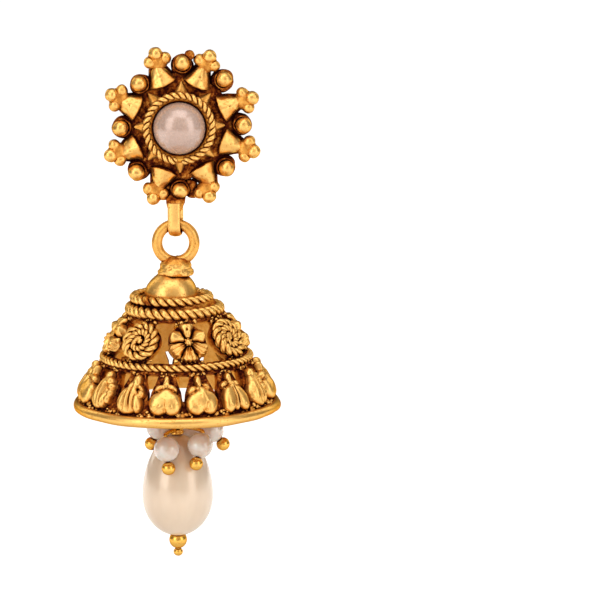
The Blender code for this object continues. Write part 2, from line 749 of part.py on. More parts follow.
def bell(gold):
    """The bell: a pierced wall with its windows cut, then everything soldered to it."""
    body = boolean(bell_wall(), upper_windows() + lower_windows(), "DIFFERENCE")
    pieces = ring_and_cap() + upper_ropes() + [inner_loop()]
    pitch = 360.0 / UPPER_COUNT
    for index in range(UPPER_COUNT):
        motif = spiral if index % 2 else flower
        pieces += motif(UPPER_START + pitch * index)
    for index in range(LOWER_COUNT):
        pieces += mango(LOWER_START + 360.0 / LOWER_COUNT * index)
    return finished("bell", boolean(body, pieces, "UNION"), gold, PIVOT)


def drop_pin(gold):
    """The pin that carries the drop: an eye round the bell's inner loop, a straight shank and an end ball."""
    points = []
    for step in range(11):
        turn = math.radians(62 + 278 * step / 10)
        y = INNER_PIVOT.y + PIN_EYE_RADIUS * math.sin(turn)
        points.append((INNER_PIVOT.x, y, PIN_EYE_Z - PIN_EYE_RADIUS * math.cos(turn)))
    points.append((INNER_PIVOT.x, INNER_PIVOT.y, PIN_EYE_Z - PIN_EYE_RADIUS * 1.45))
    points.append((INNER_PIVOT.x, INNER_PIVOT.y, END_BALL_Z))
    pin = wire("pin", points, PIN_WIRE)
    spot = Matrix.Translation((INNER_PIVOT.x, INNER_PIVOT.y, END_BALL_Z))
    end = ball("end_ball", END_BALL, spot, 10, 6, squash=0.8)
    return finished("drop_pin", boolean(pin, [end], "UNION"), gold, INNER_PIVOT)


def drop_pearl(pearl):
    """The drilled egg-shaped pearl, dimpled below for its bead."""
    profile = []
    start = math.acos(PIN_HOLE / DROP_RADIUS)
    for step in range(7):
        turn = start * (1 - step / 6)
        profile.append((DROP_RADIUS * math.cos(turn), PEARL_MIDDLE + DROP_SHOULDER * math.sin(turn)))
    end = math.acos(DIMPLE_RADIUS / DROP_RADIUS)
    for step in range(1, 5):
        turn = end * step / 4
        profile.append((DROP_RADIUS * math.cos(turn), PEARL_MIDDLE - DROP_BELLY * math.sin(turn)))
    profile.append((PIN_HOLE, profile[-1][1] + DIMPLE_DEPTH))
    made = turned("drop_pearl", profile, 16, closed=True)
    made.data.transform(Matrix.Translation((INNER_PIVOT.x, INNER_PIVOT.y, 0.0)))
    return finished("drop_pearl", made, pearl, INNER_PIVOT, smooth=60.0)


def drilled_bead(name, diameter, hole, matrix, steps=10, rows=5):
    """A round bead with a hole along the matrix's Z axis."""
    radius = diameter / 2
    start = math.acos(hole / radius)
    profile = []
    for step in range(rows + 1):
        turn = start * (1 - 2 * step / rows)
        profile.append((radius * math.cos(turn), radius * math.sin(turn)))
    made = turned(name, profile, steps, closed=True)
    made.data.transform(matrix)
    return made


def drop_bead(gold):
    """The metal bead under the pearl."""
    spot = Matrix.Translation((INNER_PIVOT.x, INNER_PIVOT.y, DROP_BEAD_Z))
    made = drilled_bead("bead", DROP_BEAD, PIN_HOLE, spot)
    return finished("drop_bead", made, gold, INNER_PIVOT, smooth=60.0)


def bead_frame(row):
    """Where one small bead sits: its hole along Z, and X pointing away from the pin before it leans."""
    spot = bell_spot(row["angle"], row["reach"] * SMALL_BEAD, PEARL_TOP + row["height"] * SMALL_BEAD)
    face = Matrix.Rotation(math.radians(row["angle"] - 90), 4, "Z")
    lean_out = Matrix.Rotation(math.radians(-row["out"]), 4, "Y")
    lean_sideways = Matrix.Rotation(math.radians(row["side"]), 4, "X")
    return Matrix.Translation(spot) @ face @ lean_out @ lean_sideways


def small_bead(row, number, stone):
    """One small drilled bead."""
    made = drilled_bead("bead", SMALL_BEAD, HEAD_HOLE, bead_frame(row))
    return finished(f"small_bead_{number}", made, stone, INNER_PIVOT, smooth=60.0)


def rounded(points, radius, steps=2):
    """The points with each inner corner replaced by a short curve."""
    made = [points[0]]
    for before, corner, after in zip(points, points[1:], points[2:]):
        back = min(radius, (before - corner).length / 2)
        ahead = min(radius, (after - corner).length / 2)
        start = corner + (before - corner).normalized() * back
        end = corner + (after - corner).normalized() * ahead
        for step in range(steps):
            share = step / (steps - 1)
            made.append(start.lerp(corner, share).lerp(corner.lerp(end, share), share))
    made.append(points[-1])
    return made


def head_pin(row, number, gold):
    """One head pin: an eye round the drop's pin, a wire out to and down through its bead, and a ball."""
    eye_radius = PIN_WIRE / 2 + HEAD_EYE_GAP + HEAD_WIRE / 2
    z = PEARL_TOP + FIRST_EYE + EYE_PITCH * row["eye"]
    eye = []
    for step in range(7):
        eye.append(bell_spot(row["angle"] + 45 + 290 * step / 6, eye_radius, z))
    frame = bead_frame(row)
    ball_drop = SMALL_BEAD / 2 + HEAD_BALL / 2 + SEAT_GAP
    mouth = frame @ Vector((0.0, 0.0, SMALL_BEAD / 2 + STEM_RISE))
    leave = bell_spot(row["angle"], eye_radius * 1.9, z)
    foot = frame @ Vector((0.0, 0.0, -ball_drop))
    points = eye + rounded([eye[-1], leave, mouth, foot], HEAD_WIRE * 1.2)[1:]
    pin = wire("head_pin", points, HEAD_WIRE)
    end = ball("head_ball", HEAD_BALL, frame @ Matrix.Translation((0.0, 0.0, -ball_drop)), 8, 5)
    return finished(f"head_pin_{number}", boolean(pin, [end], "UNION"), gold, INNER_PIVOT)


def main():
    """Makes every piece."""
    gold = material("antique_gold", (0.72, 0.42, 0.11), 1.0, 0.3)
    pin_gold = material("pin_gold", (0.78, 0.47, 0.13), 1.0, 0.25)
    post_metal = material("post_metal", (0.75, 0.55, 0.25), 1.0, 0.3)
    pearl = material("pearl", (0.80, 0.66, 0.53), 0.0, 0.2)
    stud_stone = material("stud_pearl", (0.60, 0.45, 0.38), 0.0, 0.25)
    milky = material("milky_bead", (0.78, 0.66, 0.62), 0.0, 0.15)
    rosette(gold)
    ear_post(post_metal)
    stud_pearl(stud_stone)
    bell(gold)
    drop_pin(pin_gold)
    drop_pearl(pearl)
    drop_bead(pin_gold)
    for number, row in enumerate(BEADS, start=1):
        small_bead(row, number, milky)
        head_pin(row, number, pin_gold)


main()
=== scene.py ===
"""Looks of the bell drop earring: a flower stud, a pierced bell with cast motifs and a beaded pearl drop.

Shapes are worked out in millimetres and become metres when a piece is made. The front faces -Y and +Z is up.
"""

import math
import random

import bmesh
import bpy
from mathutils import Matrix, Vector, noise

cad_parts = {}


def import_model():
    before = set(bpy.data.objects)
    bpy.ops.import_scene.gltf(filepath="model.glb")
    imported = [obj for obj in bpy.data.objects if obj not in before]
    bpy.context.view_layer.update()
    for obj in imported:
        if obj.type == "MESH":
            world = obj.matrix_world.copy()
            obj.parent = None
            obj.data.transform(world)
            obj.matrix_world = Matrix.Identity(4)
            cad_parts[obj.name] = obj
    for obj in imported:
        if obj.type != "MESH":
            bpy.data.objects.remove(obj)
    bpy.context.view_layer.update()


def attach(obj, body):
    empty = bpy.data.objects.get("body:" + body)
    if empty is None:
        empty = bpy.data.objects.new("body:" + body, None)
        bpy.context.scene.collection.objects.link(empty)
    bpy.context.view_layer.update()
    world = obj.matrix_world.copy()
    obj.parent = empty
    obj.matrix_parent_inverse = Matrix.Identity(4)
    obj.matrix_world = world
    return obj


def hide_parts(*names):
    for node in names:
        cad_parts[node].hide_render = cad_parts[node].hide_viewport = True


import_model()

MM = 0.001

# The cast metal's noise and the solder grains come out the same each run
SEED = 7
noise.seed_set(SEED)

# Stud, in millimetres
RAY_COUNT = 8
PLATE_RADIUS = 5.6
PLATE_THICKNESS = 0.8
STUD_PEARL_RADIUS = 2.57
STUD_PEARL_HEIGHT = 3.5
STUD_PEARL_GIRDLE = 1.1
BEZEL_ROPE = 0.83
BEZEL_HEIGHT = 1.3
BEZEL_RADIUS = 3.245
CONE_START = 4.43
CONE_LENGTH = 2.6
CONE_WIDTH = 2.35
CONE_DEPTH = 1.75
CONE_BACK = 0.2
CONE_FLARE = 0.63
CONE_TIP = 0.36
TIP_GRANULE = 1.26
SIDE_GRANULE = 1.04
BALL = 1.46
BALL_PLACE = 6.2
CUP = 2.0
CUP_HEIGHT = 1.15
CUP_BACK = 0.12
SPARE_GRANULE = 0.96
SPARE_ANGLE = 49
BEZEL_ROPE_TURNS = -15.5
CONE_ANGLES = (22.5, 67.0, 108.0, 151.5, 199.5, 245.0, 294.5, 340.0)
# The granules at the cones' tips: angle and shift outwards. The balls: angle and distance from the middle.
TIP_PLACES = ((23.5, 0.0), (68.0, 0.12), (108.0, 0.1), (157.0, -0.15))
TIP_PLACES += ((200.5, -0.12), (248.0, -0.3), (296.0, -0.26), (342.5, 0.0))
BALL_PLACES = ((3, 6.4), (43, 6.55), (88, 6.35), (131, 6.15))
BALL_PLACES += ((180, 6.25), (224, 6.15), (270, 5.8), (318, 5.85))
# Blobs of solder beside the lowest ball: angle, distance from the middle and size
SOLDER_BLOBS = ((168.5, 5.9, 1.3), (169.5, 6.7, 1.15), (190.5, 6.2, 1.0))
POST_DIAMETER = 0.9
POST_LENGTH = 11.0
POST_PAD = 3.0
SEAT_GAP = 0.04

# Hanging loop and the bell, in millimetres
AXIS_X = -0.45
AXIS_Y = -1.3
PIVOT_Z = -9.62
LOOP_RADIUS = 0.89
LOOP_WIDTH = 1.3
LOOP_THICKNESS = 0.5
LOOP_ROOM = 0.06
LOOP_YAW = 10.0
RING_RADIUS = 1.85
RING_WIRE = 1.06
RING_Z = -11.47
COLLAR_TOP = -13.45
COLLAR_HEIGHT = 1.15
COLLAR_RADIUS = 1.7
CAP_RADIUS = 2.64
CAP_HEIGHT = 2.42
CAP_LEAN = -0.46
ROOF_Z = -16.68
ROPE_1_Z = -16.917
ROPE_1_RADIUS = 3.67
ROPE_1 = 0.95
ROPE_2_Z = -18.017
ROPE_2_RADIUS = 4.4
ROPE_2 = 1.1
ROPE_3_Z = -22.819
ROPE_3 = 0.73
ROPE_RIDGES = (28, 34, 62)
ROPE_JOINT = -36.0
RIM_Z = -27.717
RIM_RADIUS = 9.85
RIM_WIRE = 1.05
BELL_HEIGHT = 9.7
WALL_THICKNESS = 0.8
WALL_BULGE = 0.15
CEILING_Z = -17.68
SLOPE_STRETCH = math.hypot(1.0, (RIM_RADIUS - ROPE_2_RADIUS) / BELL_HEIGHT)
UPPER_COUNT = 8
UPPER_START = 10.6
UPPER_Z = -20.62
LOWER_COUNT = 16
LOWER_START = -7.1
LOWER_Z = -25.807
MOTIF_DISC = 3.8
COIL_STEPS = 320
COIL_TURNS = 2.5
COIL_LAY = 1.14

# Drop, in millimetres
HANG_Z = -19.03
INNER_LOOP_RADIUS = 0.85
INNER_LOOP_WIRE = 0.56
PIN_WIRE = 0.5
PIN_EYE_RADIUS = 0.7
PIN_EYE_Z = -19.12
PEARL_TOP = -30.97
PEARL_MIDDLE = -37.27
DROP_RADIUS = 3.56
DROP_SHOULDER = 6.3
DROP_BELLY = 4.1
DIMPLE_RADIUS = 0.98
DIMPLE_DEPTH = 0.42
PIN_HOLE = 0.31
DROP_BEAD = 1.8
DROP_BEAD_Z = -41.88
END_BALL = 0.96
END_BALL_Z = -43.149
SMALL_BEAD = 2.56
HEAD_WIRE = 0.36
HEAD_HOLE = 0.21
HEAD_BALL = 1.36
HEAD_EYE = 0.46
FIRST_EYE = 0.6
EYE_PITCH = 0.36
STEM_RISE = 0.25
BEADS = (
    # angle, distance and height over the pearl in bead diameters, leans out and sideways, eye from below
    {"angle": -18, "reach": 1.35, "height": -0.30, "out": 8, "side": 8, "eye": 0},
    {"angle": 41, "reach": 1.35, "height": -0.215, "out": 10, "side": -25, "eye": 1},
    {"angle": 98, "reach": 1.35, "height": 0.12, "out": 39, "side": 0, "eye": 4},
    {"angle": 150, "reach": 1.35, "height": -0.235, "out": 6, "side": 8, "eye": 2},
    {"angle": -160, "reach": 1.35, "height": -0.255, "out": 6, "side": -6, "eye": 3},
    {"angle": -110, "reach": 0.77, "height": 0.235, "out": 25, "side": 0, "eye": 5},
)

# Studio, in metres, millimetres from the bell's axis, and degrees
FLOOR_Z = -0.075
FLOOR_RADIUS = 0.7
CAMERA_BACK = 246.57
CAMERA_Z = 23.96
CAMERA_DIP = 9.5
CAMERA_TURN = 2.875

# Cast fruit motifs. Each bump is a place, half width, half length, lean in degrees and height.
FRUITS = {
    "plain": {
        "bumps": (
            (-0.58, -0.44, 0.94, 0.98, -16, 0.98), (0.58, -0.44, 0.94, 0.98, 16, 0.98),
            (0.0, -0.12, 0.9, 1.1, 0, 0.98), (-0.62, 0.86, 0.48, 0.3, 28, 0.8),
            (0.62, 0.86, 0.48, 0.3, -28, 0.8), (0.0, 1.02, 0.5, 0.3, 0, 0.84),
            (0.0, 1.48, 0.3, 0.48, 0, 0.84),
        ),
        # start, end, width, depth
        "grooves": (
            (0.0, -1.5, 0.0, -1.1, 0.16, 0.4), (0.0, -0.95, 0.0, -0.35, 0.05, 0.1),
            (-1.15, 0.42, -0.6, 0.66, 0.07, 0.24), (-0.6, 0.66, 0.0, 0.82, 0.07, 0.18),
            (0.0, 0.82, 0.6, 0.66, 0.07, 0.18), (0.6, 0.66, 1.15, 0.42, 0.07, 0.24),
        ),
        "pits": ((-0.52, -0.72), (0.62, -0.76), (0.0, 1.66)),
    },
    "folded": {
        "bumps": (
            (-0.56, -0.44, 0.94, 0.98, -10, 0.92), (0.6, -0.4, 0.9, 1.02, 18, 0.94),
            (0.04, 0.06, 0.86, 1.05, 0, 0.94), (0.14, 0.2, 0.44, 1.15, 18, 1.06),
            (-0.8, 0.68, 0.52, 0.36, 24, 0.86), (0.52, 0.9, 0.42, 0.3, -35, 0.76),
            (-0.14, 1.42, 0.32, 0.54, 16, 0.86),
        ),
        "grooves": (
            (0.22, -1.5, 0.26, -1.05, 0.15, 0.4), (0.26, -1.05, 0.42, -0.5, 0.07, 0.2),
            (-1.15, 0.28, -0.45, 0.62, 0.08, 0.26), (0.1, 0.96, 0.95, 0.58, 0.08, 0.22),
            (-0.34, 1.0, 0.1, 0.96, 0.08, 0.22),
        ),
        "pits": ((-0.55, -0.62), (0.16, -0.98), (-0.9, 0.8)),
    },
    "split": {
        "bumps": (
            (-0.6, -0.3, 0.74, 1.2, -20, 0.98), (0.64, -0.32, 0.72, 1.18, 22, 0.98),
            (0.0, -0.1, 0.5, 1.25, -2, 0.9), (-0.74, 0.98, 0.42, 0.3, 28, 0.66),
            (0.6, 0.94, 0.34, 0.28, -28, 0.58), (0.0, 0.86, 0.4, 0.4, 0, 0.76),
            (-0.06, 1.5, 0.26, 0.42, 6, 0.74),
        ),
        "grooves": (
            (-0.2, -1.4, -0.12, 0.5, 0.07, 0.22), (0.24, -1.4, 0.12, 0.6, 0.08, 0.34),
            (-0.95, 0.62, 0.0, 0.98, 0.08, 0.24),
        ),
        "pits": ((-0.86, -0.92), (0.7, -0.95)),
    },
    "pleated": {
        "bumps": (
            (-0.12, -0.38, 1.26, 1.06, 0, 0.88), (-0.7, -0.2, 0.46, 1.05, -14, 0.96),
            (-0.22, 0.05, 0.4, 1.32, -8, 1.03), (0.28, -0.1, 0.4, 1.26, 6, 1.02),
            (0.76, -0.5, 0.46, 0.86, 14, 0.96), (0.96, 0.42, 0.42, 0.34, -50, 0.78),
            (0.7, 0.86, 0.46, 0.24, -30, 0.74), (0.34, 1.38, 0.36, 0.56, -18, 0.9),
        ),
        "grooves": (
            (0.02, -1.2, 0.06, 0.9, 0.08, 0.22), (-0.52, -1.1, -0.36, 0.7, 0.08, 0.22),
            (0.52, -1.25, 0.46, 0.3, 0.08, 0.24), (0.58, 0.62, 1.2, 0.62, 0.08, 0.26),
        ),
        "pits": ((0.3, 1.2), (-0.62, -0.8)),
    },
    "leafy": {
        "bumps": (
            (-0.25, -0.3, 1.18, 1.12, 0, 0.9), (-0.56, 0.1, 0.44, 1.3, -16, 0.99),
            (-0.1, 0.15, 0.38, 1.36, -6, 1.02), (0.4, -0.7, 0.34, 0.62, 6, 0.92),
            (0.86, -0.5, 0.34, 0.4, 0, 0.84), (0.92, 0.08, 0.36, 0.34, 0, 0.86),
            (0.82, 0.62, 0.38, 0.36, 0, 0.88), (0.42, 1.06, 0.42, 0.38, 0, 0.9),
            (0.02, 1.46, 0.34, 0.46, -10, 0.84),
        ),
        "grooves": (
            (-0.36, -1.3, -0.34, 0.8, 0.08, 0.2), (0.16, -1.2, 0.2, 0.7, 0.08, 0.26),
        ),
        "pits": ((0.84, 0.36), (0.72, -0.2), (0.4, 0.78)),
    },
}
FRUIT_ORDER = "plain folded split leafy plain pleated folded split".split()
FRUIT_ORDER += "plain leafy folded pleated split plain leafy pleated".split()
MIRRORED_FRUITS = (5, 6, 9, 12)
FRUIT_SIZE = 0.99


class Form:
    """Points and faces gathered for one piece, with a darkening value at each point from 0, clean, to 1,
    dark: painted shade in recesses, and real dark solder and joints.
    """

    def __init__(self):
        self.points = []
        self.faces = []
        self.dirt_and_shade = []

    def skin(self, rows, ring=False, dirt_and_shade=0.0):
        """Joins closed rows of points. A ring's last row meets its first, and other ends are closed."""
        base = len(self.points)
        width = len(rows[0])
        for number, row in enumerate(rows):
            self.points.extend(row)
            self.dirt_and_shade.extend([dirt_and_shade[number] if isinstance(dirt_and_shade, list) else dirt_and_shade] * width)
        for number in range(len(rows) if ring else len(rows) - 1):
            low = base + number * width
            high = base + (number + 1) % len(rows) * width
            for column in range(width):
                follow = (column + 1) % width
                self.faces.append((low + column, low + follow, high + follow, high + column))
        if not ring:
            self.faces.append(tuple(base + column for column in reversed(range(width))))
            last = base + (len(rows) - 1) * width
            self.faces.append(tuple(last + column for column in range(width)))

    def roughen(self, amount, pitch, start=0):
        """Shifts the points from start on by smooth noise, so that the metal looks cast by hand."""
        for number in range(start, len(self.points)):
            point = self.points[number]
            self.points[number] = point + noise.noise_vector(point / pitch) * amount


def frame_of(along, up, front, spot):
    """A matrix with the given axes at a spot."""
    return Matrix.Translation(spot) @ Matrix((along, up, front)).transposed().to_4x4()


def turned(degrees, axis):
    """A rotation about an axis."""
    return Matrix.Rotation(math.radians(degrees), 4, axis)


def made_by(*makers):
    """A form filled by the given functions, one after another."""
    form = Form()
    for maker in makers:
        maker(form)
    return form


def mesh_of(name, form):
    """A mesh in metres, its faces turned outwards."""
    bm = bmesh.new()
    corners = [bm.verts.new(point * MM) for point in form.points]
    for face in form.faces:
        bm.faces.new([corners[number] for number in face])
    bmesh.ops.recalc_face_normals(bm, faces=bm.faces)
    mesh = bpy.data.meshes.new(name)
    bm.to_mesh(mesh)
    bm.free()
    values = mesh.attributes.new("dirt_and_shade", "FLOAT", "POINT")
    values.data.foreach_set("value", form.dirt_and_shade)
    return mesh


def placed(name, data):
    """A new object in the scene."""
    made = bpy.data.objects.new(name, data)
    bpy.context.scene.collection.objects.link(made)
    return made


def dress(name, shape, finish, body, slot, nodes, angle=75.0):
    """Makes a form or a mesh into a piece that rides on a body and stands for the given CAD nodes."""
    mesh = mesh_of(name, shape) if isinstance(shape, Form) else shape
    piece = placed(name, mesh)
    mesh.materials.clear()
    mesh.materials.append(finish)
    mesh.shade_smooth()
    mesh.set_sharp_from_angle(angle=math.radians(angle))
    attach(piece, body)
    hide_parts(*nodes)
    return piece


# Forms


def ramp(share, table):
    """A value between the (share, value) rows of a table, eased from row to row."""
    for (start, low), (end, high) in zip(table, table[1:]):
        if share <= end:
            part = (share - start) / (end - start)
            return low + (high - low) * (0.5 - 0.5 * math.cos(math.pi * part))
    return table[-1][1]


def circle(steps):
    """The cosine and sine at even steps round a circle."""
    turns = [2 * math.pi * step / steps for step in range(steps)]
    return [(math.cos(turn), math.sin(turn)) for turn in turns]


def revolve(form, profile, steps, matrix, ring=False, dirt_and_shade=0.0):
    """A shape turned about the matrix's Z axis from (radius, height) points."""
    rows = []
    for radius, height in profile:
        rows.append([matrix @ Vector((radius * x, radius * y, height)) for x, y in circle(steps)])
    form.skin(rows, ring=ring, dirt_and_shade=dirt_and_shade)


def ball(form, diameter, matrix, squash=1.0, steps=24, dirt_and_shade=0.0):
    """A ball at the matrix, shortened along its Z axis by squash."""
    profile = []
    count = steps // 2
    for step in range(count + 1):
        turn = math.pi * (step + 0.15) / (count + 0.3) - math.pi / 2
        profile.append((diameter / 2 * math.cos(turn), diameter / 2 * squash * math.sin(turn)))
    revolve(form, profile, steps, matrix, dirt_and_shade=dirt_and_shade)


def torus(form, radius, wire, matrix, steps=72, sides=20, dirt_and_shade=0.0):
    """A ring of round wire in the matrix's XY plane."""
    profile = [(radius + wire / 2 * x, wire / 2 * y) for x, y in circle(sides)]
    revolve(form, profile, steps, matrix, ring=True, dirt_and_shade=dirt_and_shade)


def tube(form, path, radii, sides, normals=None, ring=False, dirt_and_shade=0.0):
    """A round tube along a path, with a radius for each of its points."""
    rows = []
    last = Vector((0.31, 0.57, 0.76)) if normals is None else normals[0]
    for number, point in enumerate(path):
        before = path[number - 1] if number or ring else point
        after = path[(number + 1) % len(path)] if number + 1 < len(path) or ring else point
        along = (after - before).normalized()
        arm = last if normals is None else normals[number]
        arm = (arm - along * arm.dot(along)).normalized()
        last = arm
        side = along.cross(arm)
        rows.append([point + (arm * x + side * y) * radii[number] for x, y in circle(sides)])
    form.skin(rows, ring=ring, dirt_and_shade=dirt_and_shade)


def rope(form, spine, widths, turns, ring=False, sides=10, dirt_and_shade=0.0):
    """Two twisted strands along a spine of (middle, front, up) rows. Turns below 0 twist the other way."""
    count = len(spine)
    for strand in (0.0, 0.5):
        path = []
        arms = []
        for number, (middle, front, up) in enumerate(spine):
            share = number / count if ring else number / (count - 1)
            turn = 2 * math.pi * (turns * share + strand)
            arm = front * math.cos(turn) + up * math.sin(turn)
            path.append(middle + arm * widths[number] * 0.25)
            arms.append(arm)
        radii = [width * 0.265 for width in widths]
        tube(form, path, radii, sides, normals=arms, ring=ring, dirt_and_shade=dirt_and_shade)


def smooth_path(points, parts):
    """Points on a soft curve through the given ones."""
    made = []
    for number in range(len(points) - 1):
        before = points[max(0, number - 1)]
        start, end = points[number], points[number + 1]
        after = points[min(len(points) - 1, number + 2)]
        for step in range(parts):
            t = step / parts
            bend = 2 * start + (end - before) * t + (2 * before - 5 * start + 4 * end - after) * t**2
            made.append(0.5 * (bend + (3 * start - before - 3 * end + after) * t**3))
    made.append(points[-1])
    return made


def bar(form, matrix, length, half, height, bow=None, columns=22, steps=20, sink=0.3, dirt_and_shade=0.0):
    """A relief along the matrix's Y axis, from its half width and its height at a share of the length."""
    rows = []
    for step in range(steps + 1):
        share = 0.5 - 0.5 * math.cos(math.pi * step / steps)
        wide = half(share)
        row = []
        for column in range(columns + 1):
            across = -math.cos(math.pi * column / columns)
            along = length * share + (bow(share, across) if bow else 0.0)
            row.append(matrix @ Vector((wide * across, along, height(share, across))))
        for across in (0.6, 0.0, -0.6):
            along = length * share + (bow(share, across) if bow else 0.0)
            row.append(matrix @ Vector((wide * across, along, -sink)))
        rows.append(row)
    form.skin(rows, dirt_and_shade=dirt_and_shade)


def bump_height(bumps, x, y):
    """The height of joined cushions at a place."""
    total = 0.0
    for middle_x, middle_y, wide, long, lean, high in bumps:
        turn = math.radians(lean)
        dx = x - middle_x
        dy = y - middle_y
        along = (dy * math.cos(turn) - dx * math.sin(turn)) / long
        across = (dx * math.cos(turn) + dy * math.sin(turn)) / wide
        inside = 1.0 - along * along - across * across
        if inside > 0.0:
            total += (high * inside**0.33) ** 7
    return total ** (1 / 7)


def bump_reach(bumps, angle):
    """How far the joined cushions reach from the middle in a direction."""
    dx = math.sin(angle)
    dy = math.cos(angle)
    far = 0.2
    for middle_x, middle_y, wide, long, lean, high in bumps:
        turn = math.radians(lean)
        ray_long = (dy * math.cos(turn) - dx * math.sin(turn)) / long
        ray_wide = (dx * math.cos(turn) + dy * math.sin(turn)) / wide
        off_long = (-middle_y * math.cos(turn) + middle_x * math.sin(turn)) / long
        off_wide = (-middle_x * math.cos(turn) - middle_y * math.sin(turn)) / wide
        square = ray_long**2 + ray_wide**2
        mixed = ray_long * off_long + ray_wide * off_wide
        rest = mixed**2 - square * (off_long**2 + off_wide**2 - 1.0)
        if rest > 0.0:
            far = max(far, (-mixed + math.sqrt(rest)) / square)
    return far


def line_distance(x, y, groove):
    """How far a place is from a groove's line."""
    start = Vector(groove[0:2])
    line = Vector(groove[2:4]) - start
    place = Vector((x, y)) - start
    share = min(1.0, max(0.0, place.dot(line) / line.length_squared))
    return (place - line * share).length


def cushion(form, matrix, kind, size, flip, rings=26, spokes=92, sink=0.35, dirt_and_shade=0.0):
    """A cast relief of joined cushions with grooves and pits, on a round grid that follows its outline."""
    rows = []
    for ring in range(rings + 1):
        share = math.sin(math.pi / 2 * (ring + 0.35) / (rings + 0.35))
        row = []
        for spoke in range(spokes):
            angle = 2 * math.pi * spoke / spokes
            reach = bump_reach(kind["bumps"], angle) * share * 0.997
            x = reach * math.sin(angle)
            y = reach * math.cos(angle)
            z = bump_height(kind["bumps"], x, y)
            for groove in kind["grooves"]:
                z -= groove[5] * math.exp(-((line_distance(x, y, groove) / groove[4]) ** 2)) * min(1.0, z)
            for pit in kind["pits"]:
                z -= 0.12 * math.exp(-(((x - pit[0]) ** 2 + (y - pit[1]) ** 2) / 0.003))
            row.append(matrix @ Vector((x * size * flip * 1.06, y * size * 1.2 + 0.24, z * size * 0.92)))
        rows.append(row)
    outer = rows[-1]
    drop = matrix.to_3x3() @ Vector((0.0, 0.0, -sink))
    rows.append([point + drop for point in outer])
    form.skin(rows, dirt_and_shade=dirt_and_shade)


# Materials


def blank(name):
    """A material with its tree, its shader and its place in the object's own frame."""
    made = bpy.data.materials.new(name)
    made.use_nodes = True
    tree = made.node_tree
    shader = tree.nodes["Principled BSDF"]
    place = tree.nodes.new("ShaderNodeTexCoord").outputs["Object"]
    return made, tree, shader, place


def maths(tree, operation, first, second, clamp=False):
    """One step of arithmetic on sockets or numbers."""
    node = tree.nodes.new("ShaderNodeMath")
    node.operation = operation
    node.use_clamp = clamp
    for socket, value in zip(node.inputs, (first, second)):
        if isinstance(value, (int, float)):
            socket.default_value = value
        else:
            tree.links.new(value, socket)
    return node.outputs[0]


def plus(tree, first, second):
    """The sum of two values."""
    return maths(tree, "ADD", first, second)


def times(tree, first, second):
    """The product of two values."""
    return maths(tree, "MULTIPLY", first, second)


def settle(node, values):
    """Sets a node's own values, by the names of its sockets."""
    for name, value in values.items():
        node.inputs[name].default_value = value


def cloud(tree, place, scale, detail, rough=0.5):
    """A noise value."""
    node = tree.nodes.new("ShaderNodeTexNoise")
    settle(node, {"Scale": scale, "Detail": detail, "Roughness": rough})
    tree.links.new(place, node.inputs["Vector"])
    return node.outputs["Fac"]


def spread(tree, value, low, high):
    """A value stretched so that low becomes 0 and high becomes 1."""
    node = tree.nodes.new("ShaderNodeMapRange")
    settle(node, {"From Min": low, "From Max": high})
    tree.links.new(value, node.inputs["Value"])
    return node.outputs["Result"]


def colours(tree, value, stops):
    """A colour from a value and (place, colour) stops."""
    node = tree.nodes.new("ShaderNodeValToRGB")
    marks = node.color_ramp.elements
    while len(marks) < len(stops):
        marks.new(0.5)
    for mark, (spot, colour) in zip(marks, stops):
        mark.position = spot
        mark.color = (*colour, 1.0)
    tree.links.new(value, node.inputs["Fac"])
    return node.outputs["Color"]


def relief(tree, shader, height, strength, depth):
    """Bump from a height value, its depth in metres."""
    node = tree.nodes.new("ShaderNodeBump")
    settle(node, {"Strength": strength, "Distance": depth})
    tree.links.new(height, node.inputs["Height"])
    tree.links.new(node.outputs["Normal"], shader.inputs["Normal"])


def gold(name, tint, reach, shade_and_speck_strength, rough):
    """Antique gold: polished where it stands out. Painted shade: the colour turns reddish brown to near
    black where something close shades it, and where the per-point darkening values are high, which also mark
    real dark solder and joints.
    """
    made, tree, shader, place = blank(name)
    hollow = tree.nodes.new("ShaderNodeAmbientOcclusion")
    hollow.samples = 8
    settle(hollow, {"Distance": reach})
    dirt_and_shade = tree.nodes.new("ShaderNodeAttribute")
    dirt_and_shade.attribute_name = "dirt_and_shade"
    patch = cloud(tree, place, 900.0, 3.0)
    blotch = cloud(tree, place, 1700.0, 2.0)
    speck = cloud(tree, place, 5200.0, 3.0, 0.6)
    # Painted shade: ambient occlusion darkens the colour in creases, hollows and between close parts.
    closed = times(tree, spread(tree, hollow.outputs["AO"], 0.74, 0.16), plus(tree, patch, 0.50))
    uneven = plus(tree, times(tree, spread(tree, blotch, 0.38, 0.64), -0.48), 1.10)
    grains = times(tree, spread(tree, speck, 0.48, 0.66), -0.42)
    # The per-point darkening values, broken up by noise: painted shade in recesses, and real dark solder and
    # joints.
    dirt_and_shade_patches = times(tree, dirt_and_shade.outputs["Fac"], plus(tree, uneven, grains))
    freckles = times(tree, spread(tree, speck, 0.57, 0.72), 0.26 * shade_and_speck_strength)
    mask = maths(tree, "ADD", plus(tree, times(tree, closed, shade_and_speck_strength), freckles), dirt_and_shade_patches, clamp=True)
    brown = (tint[0] * 0.84, tint[1] * 0.66, tint[2] * 0.42)
    stops = ((0.0, tint), (0.30, brown), (0.56, (0.38, 0.100, 0.012)))
    stops += ((0.82, (0.090, 0.012, 0.005)), (1.0, (0.030, 0.003, 0.004)))
    tree.links.new(colours(tree, mask, stops), shader.inputs["Base Color"])
    tree.links.new(maths(tree, "SUBTRACT", 1.0, times(tree, mask, 0.25)), shader.inputs["Metallic"])
    settle(shader, {"Specular IOR Level": 0.25, "Specular Tint": (0.55, 0.27, 0.09, 1.0)})
    dull = plus(tree, times(tree, mask, 0.38), times(tree, patch, 0.14))
    tree.links.new(plus(tree, dull, rough - 0.07), shader.inputs["Roughness"])
    height = times(tree, speck, plus(tree, times(tree, mask, 2.5), 0.35))
    relief(tree, shader, plus(tree, height, times(tree, patch, 1.4)), 0.5, 0.00004)
    return made


